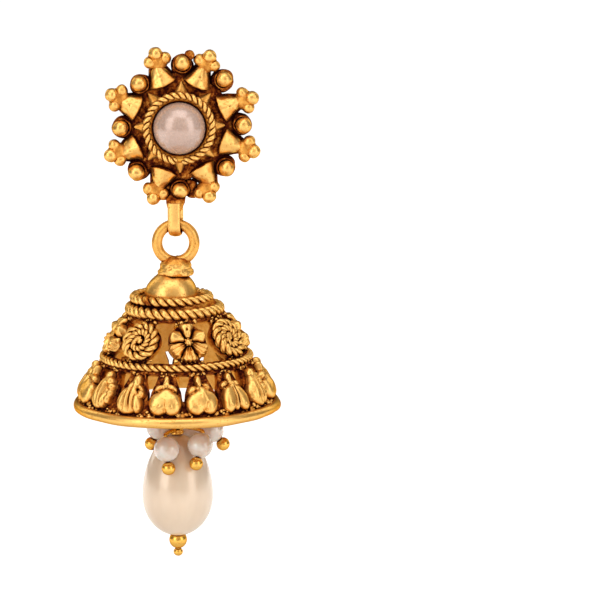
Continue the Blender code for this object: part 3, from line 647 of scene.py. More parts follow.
def pearl(name, light, shade, scale, rough):
    """Pearl: a soft-glossed body with faint clouds and long streaks."""
    made, tree, shader, place = blank(name)
    stretch = tree.nodes.new("ShaderNodeMapping")
    settle(stretch, {"Scale": scale})
    tree.links.new(place, stretch.inputs["Vector"])
    veil = cloud(tree, stretch.outputs["Vector"], 320.0, 3.0, 0.55)
    tone = colours(tree, spread(tree, veil, 0.32, 0.68), ((0.0, shade), (1.0, light)))
    tree.links.new(tone, shader.inputs["Base Color"])
    fine = cloud(tree, place, 2600.0, 2.0)
    tree.links.new(plus(tree, times(tree, fine, 0.10), rough), shader.inputs["Roughness"])
    depth = {"Subsurface Weight": 0.2, "Subsurface Radius": (1.0, 0.7, 0.5), "Subsurface Scale": 0.001}
    settle(shader, {**depth, "Metallic": 0.28, "Coat Weight": 0.6, "Coat Roughness": 0.12})
    relief(tree, shader, veil, 0.06, 0.00004)
    return made


def milky(name):
    """Small milky beads that let some light through."""
    made, tree, shader, place = blank(name)
    veil = cloud(tree, place, 900.0, 4.0, 0.6)
    stops = ((0.0, (0.80, 0.60, 0.46)), (0.5, (0.90, 0.76, 0.68)), (1.0, (0.96, 0.89, 0.85)))
    tree.links.new(colours(tree, spread(tree, veil, 0.3, 0.7), stops), shader.inputs["Base Color"])
    fine = cloud(tree, place, 3000.0, 2.0)
    tree.links.new(plus(tree, times(tree, fine, 0.12), 0.12), shader.inputs["Roughness"])
    depth = {"Subsurface Weight": 0.5, "Subsurface Radius": (1.0, 0.62, 0.5), "Subsurface Scale": 0.0015}
    coat = {"Coat Weight": 1.0, "Coat Roughness": 0.06, "Coat IOR": 1.9}
    settle(shader, {**depth, **coat, "Transmission Weight": 0.3})
    relief(tree, shader, veil, 0.3, 0.00005)
    return made


# The third and fourth values set how far ambient occlusion looks and how strongly it paints shade into the
# colour; the fourth also sets the random specks.
GOLD = gold("antique_gold_looks", (0.92, 0.55, 0.165), 0.0007, 1.35, 0.33)
BRIGHT = gold("pin_gold_looks", (0.90, 0.52, 0.11), 0.0004, 0.9, 0.24)
PLAIN = gold("post_metal_looks", (0.95, 0.66, 0.26), 0.0003, 0.4, 0.24)
STUD_PEARL = pearl("stud_pearl_looks", (0.62, 0.46, 0.40), (0.50, 0.35, 0.29), (1.0, 1.0, 1.0), 0.22)
DROP_PEARL = pearl("drop_pearl_looks", (0.84, 0.69, 0.54), (0.74, 0.59, 0.45), (1.0, 1.0, 0.35), 0.26)
MILKY = milky("milky_bead_looks")


# Stud


def stud_at(degrees, reach, depth=0.0, side=0.0):
    """A frame on the stud: X along its edge, Y out from its middle and Z to the front."""
    turn = math.radians(degrees)
    along = Vector((math.cos(turn), 0.0, -math.sin(turn)))
    out = Vector((math.sin(turn), 0.0, math.cos(turn)))
    front = Vector((0.0, -1.0, 0.0))
    return frame_of(along, out, front, out * reach + along * side + front * depth)


def plate(form):
    """The eight-sided base plate with a softened edge."""
    around = 64
    # The third value of each level darkens the plate from its hidden back to its front, most between the
    # cones by the bezel: painted shade.
    levels = ((1.9, 0.0, 0.1), (PLATE_RADIUS - 0.15, 0.0, 0.1), (PLATE_RADIUS, 0.14, 0.4))
    levels += ((PLATE_RADIUS, PLATE_THICKNESS - 0.14, 0.7), (PLATE_RADIUS - 0.15, PLATE_THICKNESS, 0.9))
    levels += ((4.6, PLATE_THICKNESS + 0.04, 0.9), (3.0, PLATE_THICKNESS, 1.0), (1.0, PLATE_THICKNESS, 0.5))
    rows = []
    for radius, depth, _ in levels:
        row = []
        for step in range(around):
            turn = 2 * math.pi * step / around
            corner = 2 * math.pi / RAY_COUNT
            fold = math.cos(corner / 2) / math.cos((turn % corner) - corner / 2)
            row.append(Vector((math.sin(turn) * radius * fold, -depth, math.cos(turn) * radius * fold)))
        rows.append(row)
    form.skin(rows, dirt_and_shade=[level[2] for level in levels])


def cone(form, degrees):
    """One cone lying on the plate: a soft ridge between two flanks, a rounded base and a pit."""

    def lip(share):
        return math.sqrt(1 - (1 - min(1.0, share / 0.05)) ** 2)

    def half(share):
        return (CONE_WIDTH * CONE_FLARE * (1 - share) + CONE_TIP * share) * (0.9 + 0.1 * lip(share))

    def height(share, across):
        top = (CONE_DEPTH * (1 - share) ** 0.85 + 0.8 * share) * (0.72 + 0.28 * lip(share))
        pit = math.exp(-(((share - 0.36) * CONE_LENGTH) ** 2 + (half(share) * across) ** 2) / 0.005)
        shoulder = max(0.0, 1 - abs(across) ** 9) ** 0.5
        slope = math.sqrt(across * across + 0.012) - math.sqrt(0.012)
        return top * shoulder * (1 - 0.36 * slope) - 0.14 * pit

    def bow(share, across):
        return -0.26 * (1 - across * across) * max(0.0, 1 - share * 2.2)

    # Painted shade: the first rows, at the cone's rounded base where it meets the plate, are darkened.
    dirt_and_shade = [0.95, 0.95, 0.9, 0.85, 0.6, 0.3, 0.1] + [0.0] * 28
    spot = stud_at(degrees, CONE_START + 0.12, CONE_BACK)
    bar(form, spot, CONE_LENGTH - 0.35, half, height, bow, 34, 34, 0.05, dirt_and_shade=dirt_and_shade)


def ledge(form, degrees):
    """The wider foot of solder under a cone, made dark all over as painted shade round the cone's base."""

    def half(share):
        return (CONE_WIDTH * CONE_FLARE + 0.2) * (1 - share) + 0.62 * share

    def height(share, across):
        return 0.72 * max(0.0, 1 - abs(across) ** 6)

    spot = stud_at(degrees, CONE_START, CONE_BACK - 0.05)
    bar(form, spot, CONE_LENGTH - 0.15, half, height, None, 18, 12, 0.05, dirt_and_shade=0.85)


def granules(form, degrees, shift):
    """The three granules at a cone's tip, and the solder between them."""
    middle = CONE_BACK + CONE_DEPTH / 2
    end = CONE_START + CONE_LENGTH + shift
    ball(form, TIP_GRANULE * 1.1, stud_at(degrees, end + TIP_GRANULE * 0.46, middle), steps=22)
    for side in (-1, 1):
        spot = stud_at(degrees, end - SIDE_GRANULE * 0.10, middle - CONE_BACK, side * SIDE_GRANULE * 0.76)
        ball(form, SIDE_GRANULE * 1.18, spot, steps=20, dirt_and_shade=0.08)
    ball(form, 2.05, stud_at(degrees, end - 0.12, middle - 0.35), 0.75, 20, dirt_and_shade=0.42)


def cup_and_ball(form, degrees, reach):
    """One ball in its low cup, and the small point of the plate that runs towards it."""
    edge = CUP / 2 - 0.05
    profile = ((edge * 0.6, 0.0), (edge - 0.06, 0.0), (edge, 0.08), (edge, CUP_HEIGHT - 0.16))
    profile += ((edge - 0.04, CUP_HEIGHT - 0.04), (edge - 0.1, CUP_HEIGHT), (edge - 0.17, CUP_HEIGHT - 0.03))
    profile += ((edge - 0.21, CUP_HEIGHT - 0.14), (edge - 0.22, 0.62), (0.2, 0.55))
    # Painted shade: the cup darkens towards its inside round the ball, and the flat foot under it is dark.
    dirt_and_shade = [0.6, 0.6, 0.7, 0.75, 0.75, 0.7, 0.85, 1.0, 1.0, 1.0]
    revolve(form, profile, 28, stud_at(degrees, reach - 0.1, CUP_BACK), dirt_and_shade=dirt_and_shade)
    ball(form, 2.3, stud_at(degrees, reach - 0.35, CUP_BACK + 0.3), 0.3, 28, dirt_and_shade=0.75)
    depth = CUP_BACK + CUP_HEIGHT + BALL * 0.12
    ball(form, BALL * 1.08, stud_at(degrees, reach, depth), steps=26)

    def half(share):
        return 0.66 * (1 - share) ** 0.7 + 0.1

    def height(share, across):
        return (0.50 - 0.3 * share) * (1 - abs(across) ** 2.5)

    bar(form, stud_at(degrees, 3.4, PLATE_THICKNESS - 0.1), 1.12, half, height, None, 10, 8, 0.2, dirt_and_shade=0.32)


def bezel(form):
    """The bezel's wall with its bright inner slope. Painted shade darkens its foot by the plate and the
    slope down to the pearl; its top edge stays lightest.
    """
    inner = STUD_PEARL_RADIUS + 0.02
    top = PLATE_THICKNESS + BEZEL_HEIGHT
    profile = ((inner, 0.5), (BEZEL_RADIUS + 0.15, 0.5), (BEZEL_RADIUS + 0.15, top - 0.05))
    profile += ((BEZEL_RADIUS - 0.16, top + 0.12), (inner + 0.10, top - 0.02), (inner, top - 0.3))
    revolve(form, profile, 72, stud_at(0.0, 0.0), ring=True, dirt_and_shade=[0.9, 0.9, 0.6, 0.25, 0.42, 0.6])


def bezel_rope(form):
    """The rope round the pearl. Its two ends meet at the bottom."""
    count = 200
    top = PLATE_THICKNESS + BEZEL_HEIGHT
    front = Vector((0.0, -1.0, 0.0))
    spine = []
    widths = []
    for step in range(count):
        turn = math.radians(184 + 352 * step / (count - 1))
        out = Vector((math.sin(turn), 0.0, math.cos(turn)))
        spine.append((out * BEZEL_RADIUS + front * top, front, out))
        edge = min(step, count - 1 - step)
        widths.append(BEZEL_ROPE * (0.45 + 0.55 * math.sin(math.pi / 2 * min(1.0, edge / 4))))
    rope(form, spine, widths, BEZEL_ROPE_TURNS)


def neck(form, yaw):
    """The soldered neck under the stud."""
    levels = ((-6.0, 0.9, 0.4, 0.8), (-6.6, 1.0, 0.6, 0.7), (-7.0, 0.98, 0.95, 0.35), (-7.4, 0.9, 1.2, 0.05))
    levels += ((-7.8, 0.8, 1.2, 0.0), (-8.15, 0.68, 1.12, 0.0), (-8.3, 0.45, 0.8, 0.0))
    rows = []
    for z, wide, deep, back in levels:
        rows.append([yaw @ Vector((wide * x, back + deep * y, z - PIVOT_Z)) for x, y in circle(32)])
    start = len(form.points)
    form.skin(rows, dirt_and_shade=[0.9, 0.85, 0.8, 0.6, 0.35, 0.25, 0.25])
    form.roughen(0.12, 0.45, start)


def hanging_loop(form):
    """The neck and the flat band that hangs from it."""
    yaw = bell_axis(0.0, PIVOT_Z) @ turned(-LOOP_YAW, "Z")
    neck(form, yaw)
    bend = LOOP_RADIUS + LOOP_ROOM
    points = [(-bend, 2.2), (-bend, 1.6), (-bend, 1.0), (-bend, 0.5)]
    for step in range(25):
        turn = math.pi * step / 24
        points.append((-bend * math.cos(turn), -bend * math.sin(turn)))
    points += [(bend, 0.5), (bend, 1.0), (bend, 1.6), (bend, 2.2)]
    rows = []
    for number, (y, z) in enumerate(points):
        before = Vector(points[max(0, number - 1)])
        after = Vector(points[min(len(points) - 1, number + 1)])
        along = (after - before).normalized()
        row = []
        for across, depth in circle(24):
            wide = LOOP_WIDTH / 2 * 0.96 * across
            thick = LOOP_THICKNESS / 2 * 1.05 * depth
            row.append(yaw @ Vector((wide, y + along.y * thick, z - along.x * thick)))
        rows.append(row)
    form.skin(rows)


def stud_metal(form):
    """The plate with its cones, granules and balls, the spare granule, the solder and the loop."""
    plate(form)
    for index in range(RAY_COUNT):
        start = len(form.points)
        cone(form, CONE_ANGLES[index])
        ledge(form, CONE_ANGLES[index])
        granules(form, *TIP_PLACES[index])
        cup_and_ball(form, *BALL_PLACES[index])
        form.roughen(0.08, 1.1, start)
        form.roughen(0.03, 0.4, start)
    away = CUP / 2 + SPARE_GRANULE * 0.42
    turn = math.radians(SPARE_ANGLE)
    start = len(form.points)
    reach = BALL_PLACE + away * math.cos(turn)
    spot = stud_at(0.0, reach, (CUP_BACK + CUP_HEIGHT) * 0.8, away * math.sin(turn))
    ball(form, SPARE_GRANULE * 1.08, spot, steps=32, dirt_and_shade=0.72)
    form.roughen(0.05, 0.5, start)
    start = len(form.points)
    for degrees, reach, size in SOLDER_BLOBS:
        ball(form, size, stud_at(degrees, reach, 0.55), 0.75, 20, dirt_and_shade=0.75)
    form.roughen(0.12, 0.5, start)
    hanging_loop(form)


def half_pearl(form):
    """The stud's half pearl, its widest place a little over its seat."""
    profile = [(0.02, 0.0), (STUD_PEARL_RADIUS * 0.96, 0.0)]
    for step in range(19):
        turn = math.radians(89) * step / 18
        rise = (STUD_PEARL_HEIGHT - STUD_PEARL_GIRDLE) * math.sin(turn)
        profile.append((STUD_PEARL_RADIUS * math.cos(turn), STUD_PEARL_GIRDLE + rise))
    revolve(form, profile, 64, stud_at(0.0, 0.0, PLATE_THICKNESS + SEAT_GAP))


def post(form):
    """The post on its pad."""
    pad = POST_PAD / 2
    half = POST_DIAMETER / 2
    profile = [(0.05, SEAT_GAP), (pad - 0.08, SEAT_GAP), (pad, 0.12), (pad, 0.32), (pad - 0.1, 0.4)]
    profile += [(half + 0.14, 0.42), (half + 0.03, 0.5), (half, 0.62), (half, POST_LENGTH - 0.5)]
    profile += [(half * 0.9, POST_LENGTH - 0.25), (half * 0.55, POST_LENGTH - 0.04), (0.05, POST_LENGTH)]
    revolve(form, profile, 32, turned(-90, "X"))


def make_stud():
    """The stud's soldered metal, its pearl and its post."""
    metal = ("stud", "antique_gold", ["rosette"])
    dress("stud_flower", made_by(stud_metal), GOLD, *metal)
    # The bezel wall takes the pin gold, whose shorter occlusion reach and lower strength paint less shade on
    # it.
    dress("bezel_wall", made_by(bezel), BRIGHT, *metal)
    dress("bezel_rope", made_by(bezel_rope), GOLD, *metal)
    dress("stud_half_pearl", made_by(half_pearl), STUD_PEARL, "stud", "stud_pearl", ["stud_pearl"])
    dress("post", made_by(post), PLAIN, "stud", "post_metal", ["ear_post"])


# Bell


def wall_radius(z):
    """The outer radius of the bell's wall at a height."""
    share = (ROPE_2_Z - z) / BELL_HEIGHT
    return ROPE_2_RADIUS + (RIM_RADIUS - ROPE_2_RADIUS) * share + WALL_BULGE * math.sin(math.pi * share)


def outward(turn):
    """The way out of the bell at an angle in radians from its front towards +X."""
    return Vector((math.sin(turn), -math.cos(turn), 0.0))


def bell_at(degrees, z, lift=0.0):
    """A frame on the bell's wall: X along the band, Y up the slope and Z out of the wall."""
    slope = (wall_radius(z - 0.1) - wall_radius(z + 0.1)) / 0.2
    out = outward(math.radians(degrees))
    up = (Vector((0.0, 0.0, 1.0)) - out * slope).normalized()
    front = (out + Vector((0.0, 0.0, slope))).normalized()
    spot = Vector((AXIS_X, AXIS_Y, z)) + out * wall_radius(z) + front * lift
    return frame_of(up.cross(front), up, front, spot)


def bell_axis(shift=0.0, z=0.0):
    """An upright frame on the bell's axis."""
    return Matrix.Translation(Vector((AXIS_X + shift, AXIS_Y, z)))


def wall_form():
    """The bell's wall as a closed shell: painted shade makes it dark outside, between the motifs, and only a
    little darker inside.
    """
    form = Form()
    wall = WALL_THICKNESS * SLOPE_STRETCH
    profile = [(0.05, ROOF_Z - 0.1), (ROPE_1_RADIUS - 0.24, ROOF_Z - 0.1)]
    dirt_and_shade = [0.9, 0.9]
    for step in range(15):
        z = ROPE_2_Z + (RIM_Z + 0.1 - ROPE_2_Z) * step / 14
        profile.append((wall_radius(z), z))
        dirt_and_shade.append(0.95)
    for step in range(15):
        z = RIM_Z - 0.25 + (CEILING_Z - 0.35 - RIM_Z) * step / 14
        profile.append((wall_radius(min(z, ROPE_2_Z)) - wall, z))
        dirt_and_shade.append(0.3)
    corner = ROPE_2_RADIUS - wall
    profile += [(corner - 0.35, CEILING_Z - 0.12), (corner - 0.9, CEILING_Z), (0.05, CEILING_Z)]
    dirt_and_shade += [0.35, 0.4, 0.4]
    revolve(form, profile, 128, bell_axis(), dirt_and_shade=dirt_and_shade)
    return form


def prism(form, outline, depth, matrix):
    """A straight bar with an outline of (x, y) points, reaching depth either way."""
    rows = []
    for z in (-depth, depth):
        rows.append([matrix @ Vector((x, y, z)) for x, y in outline])
    form.skin(rows, dirt_and_shade=0.6)


def window(form, degrees, rows):
    """A cutter square to the wall, from rows of height and half width."""
    middle = (rows[0][0] + rows[-1][0]) / 2
    right = [(half, (z - middle) * SLOPE_STRETCH) for z, half in rows]
    left = [(-x, y) for x, y in reversed(right)]
    prism(form, right + left, 2.2 * WALL_THICKNESS, bell_at(degrees, middle))


def windows_form():
    """All the cutters for the two bands of windows."""
    form = Form()
    top = ROPE_2_Z - ROPE_2 * 0.5
    bottom = ROPE_3_Z + ROPE_3 * 0.58
    pitch = 360.0 / UPPER_COUNT
    rows = []
    for step in range(11):
        z = top + (bottom - top) * step / 10
        away = min(abs(z - UPPER_Z) * SLOPE_STRETCH, MOTIF_DISC * 0.46)
        chord = math.sqrt((MOTIF_DISC / 2) ** 2 - away**2)
        half = math.radians(pitch / 2) - math.asin(chord / wall_radius(z))
        rows.append((z, wall_radius(z) * math.sin(half)))
    for index in range(UPPER_COUNT):
        window(form, UPPER_START + pitch * (index + 0.5), rows)
    top = ROPE_3_Z - ROPE_3 * 0.58
    pitch = 360.0 / LOWER_COUNT
    rows = []
    for down, share in ((0.03, 0.46), (0.14, 0.38), (0.24, 0.28), (0.38, 0.12), (0.56, 0.06)):
        z = top - (top - RIM_Z) * down
        rows.append((z, wall_radius(z) * math.radians(pitch / 2) * share))
    for index in range(LOWER_COUNT):
        window(form, LOWER_START + pitch * (index + 0.5), rows)
    return form


def pierced_wall():
    """The wall with its windows cut right through."""
    wall = placed("wall", mesh_of("wall", wall_form()))
    cutters = placed("cutters", mesh_of("cutters", windows_form()))
    cut = wall.modifiers.new("cut", "BOOLEAN")
    cut.operation = "DIFFERENCE"
    cut.solver = "EXACT"
    cut.object = cutters
    bpy.context.view_layer.update()
    graph = bpy.context.evaluated_depsgraph_get()
    mesh = bpy.data.meshes.new_from_object(wall.evaluated_get(graph))
    mesh.name = "bell_wall"
    # Painted shade: the outer face and the outer part of each window's edge are made dark, the inner part
    # light.
    for vertex, value in zip(mesh.vertices, mesh.attributes["dirt_and_shade"].data):
        place = vertex.co / MM
        depth = wall_radius(min(ROPE_2_Z, place.z)) - math.hypot(place.x - AXIS_X, place.y - AXIS_Y)
        value.value = 0.95 if depth < WALL_THICKNESS * 0.6 else 0.28
    for item in (wall, cutters):
        bpy.data.objects.remove(item)
    return mesh


def level_rope(form, radius, z, width, shift, ridges, steps, joint=None):
    """One rope ring round the bell, darker at its soldered joint."""
    spine = []
    dirt_and_shade = []
    up = Vector((0.0, 0.0, 1.0))
    for step in range(steps):
        turn = 2 * math.pi * step / steps
        out = outward(turn)
        spine.append((Vector((AXIS_X + shift, AXIS_Y, z)) + out * radius, out, up))
        away = 180.0 if joint is None else abs((math.degrees(turn) - joint + 180.0) % 360.0 - 180.0)
        dirt_and_shade.append(0.9 * math.exp(-((away / 5.0) ** 2)))
    rope(form, spine, [width] * steps, -ridges / 2, ring=True, dirt_and_shade=dirt_and_shade)


def bell_ring(form):
    """The ring that hangs from the stud's loop."""
    start = len(form.points)
    # Painted shade: the whole ring is darkened a little.
    torus(form, RING_RADIUS, RING_WIRE, bell_axis(0.0, RING_Z) @ turned(90, "X"), 96, 28, dirt_and_shade=0.2)
    form.roughen(0.02, 1.4, start)


def collar(form):
    """The rough collar that the ring is soldered on."""
    start = len(form.points)
    top = COLLAR_TOP
    bottom = COLLAR_TOP - COLLAR_HEIGHT
    edge = COLLAR_RADIUS
    profile = ((0.1, top + 0.62), (0.7, top + 0.58), (1.15, top + 0.4), (1.42, top + 0.1))
    profile += ((edge - 0.14, top - 0.2), (edge - 0.16, top - 0.45), (edge, bottom + 0.42))
    profile += ((edge + 0.02, bottom + 0.15), (edge - 0.2, bottom - 0.12), (0.2, bottom - 0.25))
    profile = smooth_path([Vector(point) for point in profile], 4)
    # Darker at its top, by the ring, and at its foot, by the cap; lighter in its middle.
    darkening_by_height = ((0.0, 0.65), (0.30, 0.5), (0.45, 0.05), (0.80, 0.05), (1.0, 0.5))
    dirt_and_shade = [ramp(number / (len(profile) - 1), darkening_by_height) for number in range(len(profile))]
    revolve(form, profile, 96, bell_axis(), dirt_and_shade=dirt_and_shade)
    form.roughen(0.15, 0.8, start)
    form.roughen(0.07, 0.26, start)


def cap(form):
    """The smooth cap, which leans a little."""
    start = len(form.points)
    profile = []
    for step in range(17):
        turn = math.radians(88) * (1 - step / 16)
        profile.append((CAP_RADIUS * math.cos(turn), ROOF_Z + CAP_HEIGHT * math.sin(turn)))
    profile += [(CAP_RADIUS, ROOF_Z - 0.3), (0.1, ROOF_Z - 0.3)]
    revolve(form, profile, 72, bell_axis(CAP_LEAN))
    form.roughen(0.08, 1.6, start)
    form.roughen(0.025, 0.4, start)


def rim(form):
    """The plain rim, with the lap of its joint at the right."""
    start = len(form.points)
    torus(form, RIM_RADIUS, RIM_WIRE, bell_axis(0.0, RIM_Z), 200, 24)
    path = []
    radii = []
    for step in range(17):
        turn = math.radians(74 + 26 * step / 16)
        out = outward(turn)
        path.append(Vector((AXIS_X, AXIS_Y, RIM_Z - 0.1)) + out * (RIM_RADIUS + 0.12))
        radii.append(RIM_WIRE / 2 * (0.55 + 0.42 * math.sin(math.pi * step / 16) ** 0.5))
    tube(form, path, radii, 20)
    form.roughen(0.05, 2.4, start)


def inner_loop(form):
    """The small ring inside the bell, for the drop's pin."""
    upright = bell_axis(0.0, HANG_Z + INNER_LOOP_RADIUS) @ turned(90, "X")
    torus(form, INNER_LOOP_RADIUS, INNER_LOOP_WIRE, upright, 48, 16)


def coil(form, degrees):
    """One rosette of coiled rope."""
    matrix = bell_at(degrees, UPPER_Z, 0.18)
    front = matrix.to_3x3() @ Vector((0.0, 0.0, 1.0))
    radii = ((0.0, 1.66), (0.41, 1.60), (0.52, 0.98), (0.80, 0.86), (0.90, 0.36), (1.0, 0.20))
    thickness = ((0.0, 0.92), (0.42, 0.88), (0.60, 0.78), (1.0, 0.56))
    spine = []
    widths = []
    length = 0.0
    for step in range(COIL_STEPS):
        share = step / (COIL_STEPS - 1)
        turn = 2 * math.pi * COIL_TURNS * share + math.radians(200)
        radius = ramp(share, radii)
        out = matrix.to_3x3() @ Vector((math.sin(turn), math.cos(turn), 0.0))
        middle = matrix @ Vector((radius * math.sin(turn), radius * math.cos(turn), 0.05 + 0.22 * share))
        if spine:
            length += (middle - spine[-1][0]).length
        spine.append((middle, front, out))
        widths.append(ramp(share, thickness) * (0.4 + 0.6 * min(1.0, step / 7, (COIL_STEPS - 1 - step) / 4)))
    rope(form, spine, widths, -length / COIL_LAY)
    ball(form, 0.7, matrix @ Matrix.Translation((0.0, 0.0, 0.2)), 0.8, 16)


def petal(form, matrix, kind):
    """One petal of a flower, of three kinds."""
    tables = {
        "fan": ((0.0, 0.20), (0.45, 0.44), (0.84, 0.76), (1.0, 0.60)),
        "kite": ((0.0, 0.20), (0.60, 0.74), (0.90, 0.62), (1.0, 0.36)),
        "ridged": ((0.0, 0.20), (0.5, 0.62), (0.82, 0.90), (1.0, 0.66)),
    }
    high = {"fan": 0.66, "kite": 0.74, "ridged": 0.72}[kind]

    def half(share):
        return ramp(share, tables[kind])

    def height(share, across):
        ends = min(1.0, (share / 0.16) ** 0.5, ((1.0 - share) / 0.10) ** 0.5 if share < 1.0 else 0.0)
        body = max(0.0, 1 - abs(across) ** 2.6) ** 0.5
        if kind == "ridged":
            body *= 0.90 + 0.13 * math.cos(math.pi * 3.6 * across)
        elif kind == "kite":
            body *= 0.72 + 0.34 * (1 - abs(across))
        else:
            body *= 0.90 + 0.12 * abs(across)
            body -= 0.55 * math.exp(-(((share - 0.62) * 1.35) ** 2 + (half(share) * across) ** 2) / 0.008)
        rise = 0.72 + 0.34 * math.sin(math.pi * min(1.0, share * 0.8))
        return high * ends * body * rise

    def bow(share, across):
        dent = {"fan": 0.05, "kite": -0.12, "ridged": -0.10}[kind]
        ripple = 0.05 * math.cos(math.pi * 3.6 * across) if kind == "ridged" else 0.0
        return (dent * across * across + ripple) * share**3 * 1.6

    bar(form, matrix, 1.70, half, height, bow, 30, 18, 0.3)


def flower(form, degrees):
    """One six-petalled flower."""
    matrix = bell_at(degrees, UPPER_Z)
    kinds = ("fan", "kite", "ridged", "ridged", "ridged", "kite")
    for index, kind in enumerate(kinds):
        spin = Matrix.Rotation(-2 * math.pi * index / 6, 4, "Z")
        petal(form, matrix @ spin @ Matrix.Translation((0.0, 0.30, 0.0)), kind)
    ball(form, 0.72, matrix @ Matrix.Translation((0.0, 0.0, 0.38)), 0.8, 16)
    for index in range(7):
        turn = 2 * math.pi * index / 7
        spot = Matrix.Translation((0.34 * math.sin(turn), 0.34 * math.cos(turn), 0.42))
        ball(form, 0.22, matrix @ spot, 1.0, 8, dirt_and_shade=0.1)


def nugget(form, spot, size, dice):
    """One rough grain of solder."""
    stretch = Matrix.Diagonal((dice.uniform(0.7, 1.4), dice.uniform(0.7, 1.4), dice.uniform(0.7, 1.2), 1.0))
    spin = Matrix.Rotation(dice.uniform(0, 6.28), 4, Vector((dice.uniform(-1, 1), dice.uniform(-1, 1), 1.0)))
    ball(form, size, spot @ spin @ stretch, 1.0, 8, dirt_and_shade=dice.choice((0.0, 0.0, 0.15, 0.5)))


def nuggets(form):
    """Grains between the motifs, along the rim and under the ropes."""
    dice = random.Random(SEED)
    start = len(form.points)
    pitch = 360.0 / LOWER_COUNT
    for index in range(LOWER_COUNT):
        for _ in range(11):
            degrees = LOWER_START + pitch * (index + 0.5) + dice.uniform(-5.5, 5.5)
            spot = bell_at(degrees, RIM_Z + dice.uniform(0.42, 0.95), dice.uniform(-0.05, 0.12))
            nugget(form, spot, dice.uniform(0.25, 0.55), dice)
        for _ in range(4):
            degrees = LOWER_START + pitch * index + dice.uniform(-8, 8)
            nugget(form, bell_at(degrees, RIM_Z + 0.5, 0.0), dice.uniform(0.2, 0.4), dice)
    for _ in range(150):
        degrees = UPPER_START + 45.0 * dice.randrange(UPPER_COUNT) + dice.uniform(-13, 13)
        z = dice.choice((ROPE_2_Z - 0.72, ROPE_3_Z + 0.55)) + dice.uniform(-0.2, 0.2)
        nugget(form, bell_at(degrees, z, 0.0), dice.uniform(0.2, 0.42), dice)
    for _ in range(110):
        degrees = LOWER_START + pitch * dice.randrange(LOWER_COUNT) + dice.uniform(-5, 5)
        spot = bell_at(degrees, ROPE_3_Z - 0.55 + dice.uniform(-0.15, 0.1))
        nugget(form, spot, dice.uniform(0.18, 0.36), dice)
    form.roughen(0.08, 0.25, start)


def bell_ropes(form):
    """The three ropes round the bell."""
    first, second, third = ROPE_RIDGES
    level_rope(form, ROPE_1_RADIUS, ROPE_1_Z, ROPE_1 * 1.1, CAP_LEAN, first, first * 8, ROPE_JOINT)
    level_rope(form, ROPE_2_RADIUS, ROPE_2_Z, ROPE_2 * 1.08, CAP_LEAN / 3, second, second * 8)
    level_rope(form, wall_radius(ROPE_3_Z) + 0.07, ROPE_3_Z, ROPE_3 * 1.08, 0.0, third, third * 7)


def upper_motifs(form):
    """Flowers and coiled rosettes by turns."""
    for index in range(UPPER_COUNT):
        degrees = UPPER_START + 360.0 / UPPER_COUNT * index
        start = len(form.points)
        if index % 2:
            coil(form, degrees)
            form.roughen(0.05, 0.9, start)
        else:
            flower(form, degrees)
            form.roughen(0.06, 0.7, start)


def lower_motifs(form):
    """The sixteen fruits, some of them mirrored."""
    for index in range(LOWER_COUNT):
        start = len(form.points)
        spot = bell_at(LOWER_START + 360.0 / LOWER_COUNT * index, LOWER_Z)
        flip = -1 if index in MIRRORED_FRUITS else 1
        cushion(form, spot, FRUITS[FRUIT_ORDER[index]], FRUIT_SIZE, flip)
        form.roughen(0.07, 1.0, start)


def make_bell():
    """The pierced bell with everything soldered on it."""
    body = ("bell", "antique_gold", ["bell"])
    dress("bell_wall", pierced_wall(), GOLD, *body, angle=35.0)
    dress("bell_ropes", made_by(bell_ropes), GOLD, *body)
    dress("bell_crown_and_rim", made_by(bell_ring, collar, cap, rim, inner_loop), GOLD, *body)
    dress("upper_motifs", made_by(upper_motifs), GOLD, *body)
    dress("lower_motifs", made_by(lower_motifs), GOLD, *body)
    dress("solder_grains", made_by(nuggets), GOLD, *body, angle=70.0)


# Drop


def around_pin(degrees, radius, z):
    """A place by its angle from the front towards +X, its distance from the pin and its height."""
    turn = math.radians(degrees)
    return Vector((AXIS_X + radius * math.sin(turn), AXIS_Y - radius * math.cos(turn), z))


def bead_frame(row):
    """Where one small bead sits, its hole along Z."""
    spot = around_pin(row["angle"], row["reach"] * SMALL_BEAD, PEARL_TOP + row["height"] * SMALL_BEAD)
    lean = turned(row["angle"] - 90, "Z") @ turned(-row["out"], "Y") @ turned(row["side"], "X")
    return Matrix.Translation(spot) @ lean


def drilled(form, diameter, hole, matrix, steps=40):
    """A round bead with a hole along Z, its edges softened."""
    radius = diameter / 2
    start = math.acos(hole * 1.25 / radius)
    profile = []
    for step in range(21):
        turn = start * (1 - step / 10)
        profile.append((radius * math.cos(turn), radius * math.sin(turn)))
    low = profile[-1][1]
    profile += [(hole, low + 0.05), (hole, -low - 0.05)]
    revolve(form, profile, steps, matrix, ring=True)


def head_pin(form, row):
    """One head pin: its eye round the drop's pin, its wire through the bead and its ball below."""
    z = PEARL_TOP + FIRST_EYE + EYE_PITCH * row["eye"]
    eye = [around_pin(row["angle"] + 45 + 290 * step / 14, HEAD_EYE, z) for step in range(15)]
    place = bead_frame(row)
    fall = SMALL_BEAD / 2 + HEAD_BALL / 2 - SEAT_GAP
    mouth = place @ Vector((0.0, 0.0, SMALL_BEAD / 2 + STEM_RISE))
    leave = around_pin(row["angle"], HEAD_EYE * 1.9, z)
    inside = place @ Vector((0.0, 0.0, SMALL_BEAD / 2 - 0.2))
    foot = place @ Vector((0.0, 0.0, -fall))
    path = smooth_path([eye[-1], leave, leave.lerp(mouth, 0.6), mouth.lerp(inside, 0.25), inside, foot], 6)
    path = eye[:-1] + path
    tube(form, path, [HEAD_WIRE / 2] * len(path), 12)
    ball(form, HEAD_BALL, place @ Matrix.Translation((0.0, 0.0, -fall)), 1.0, 24)


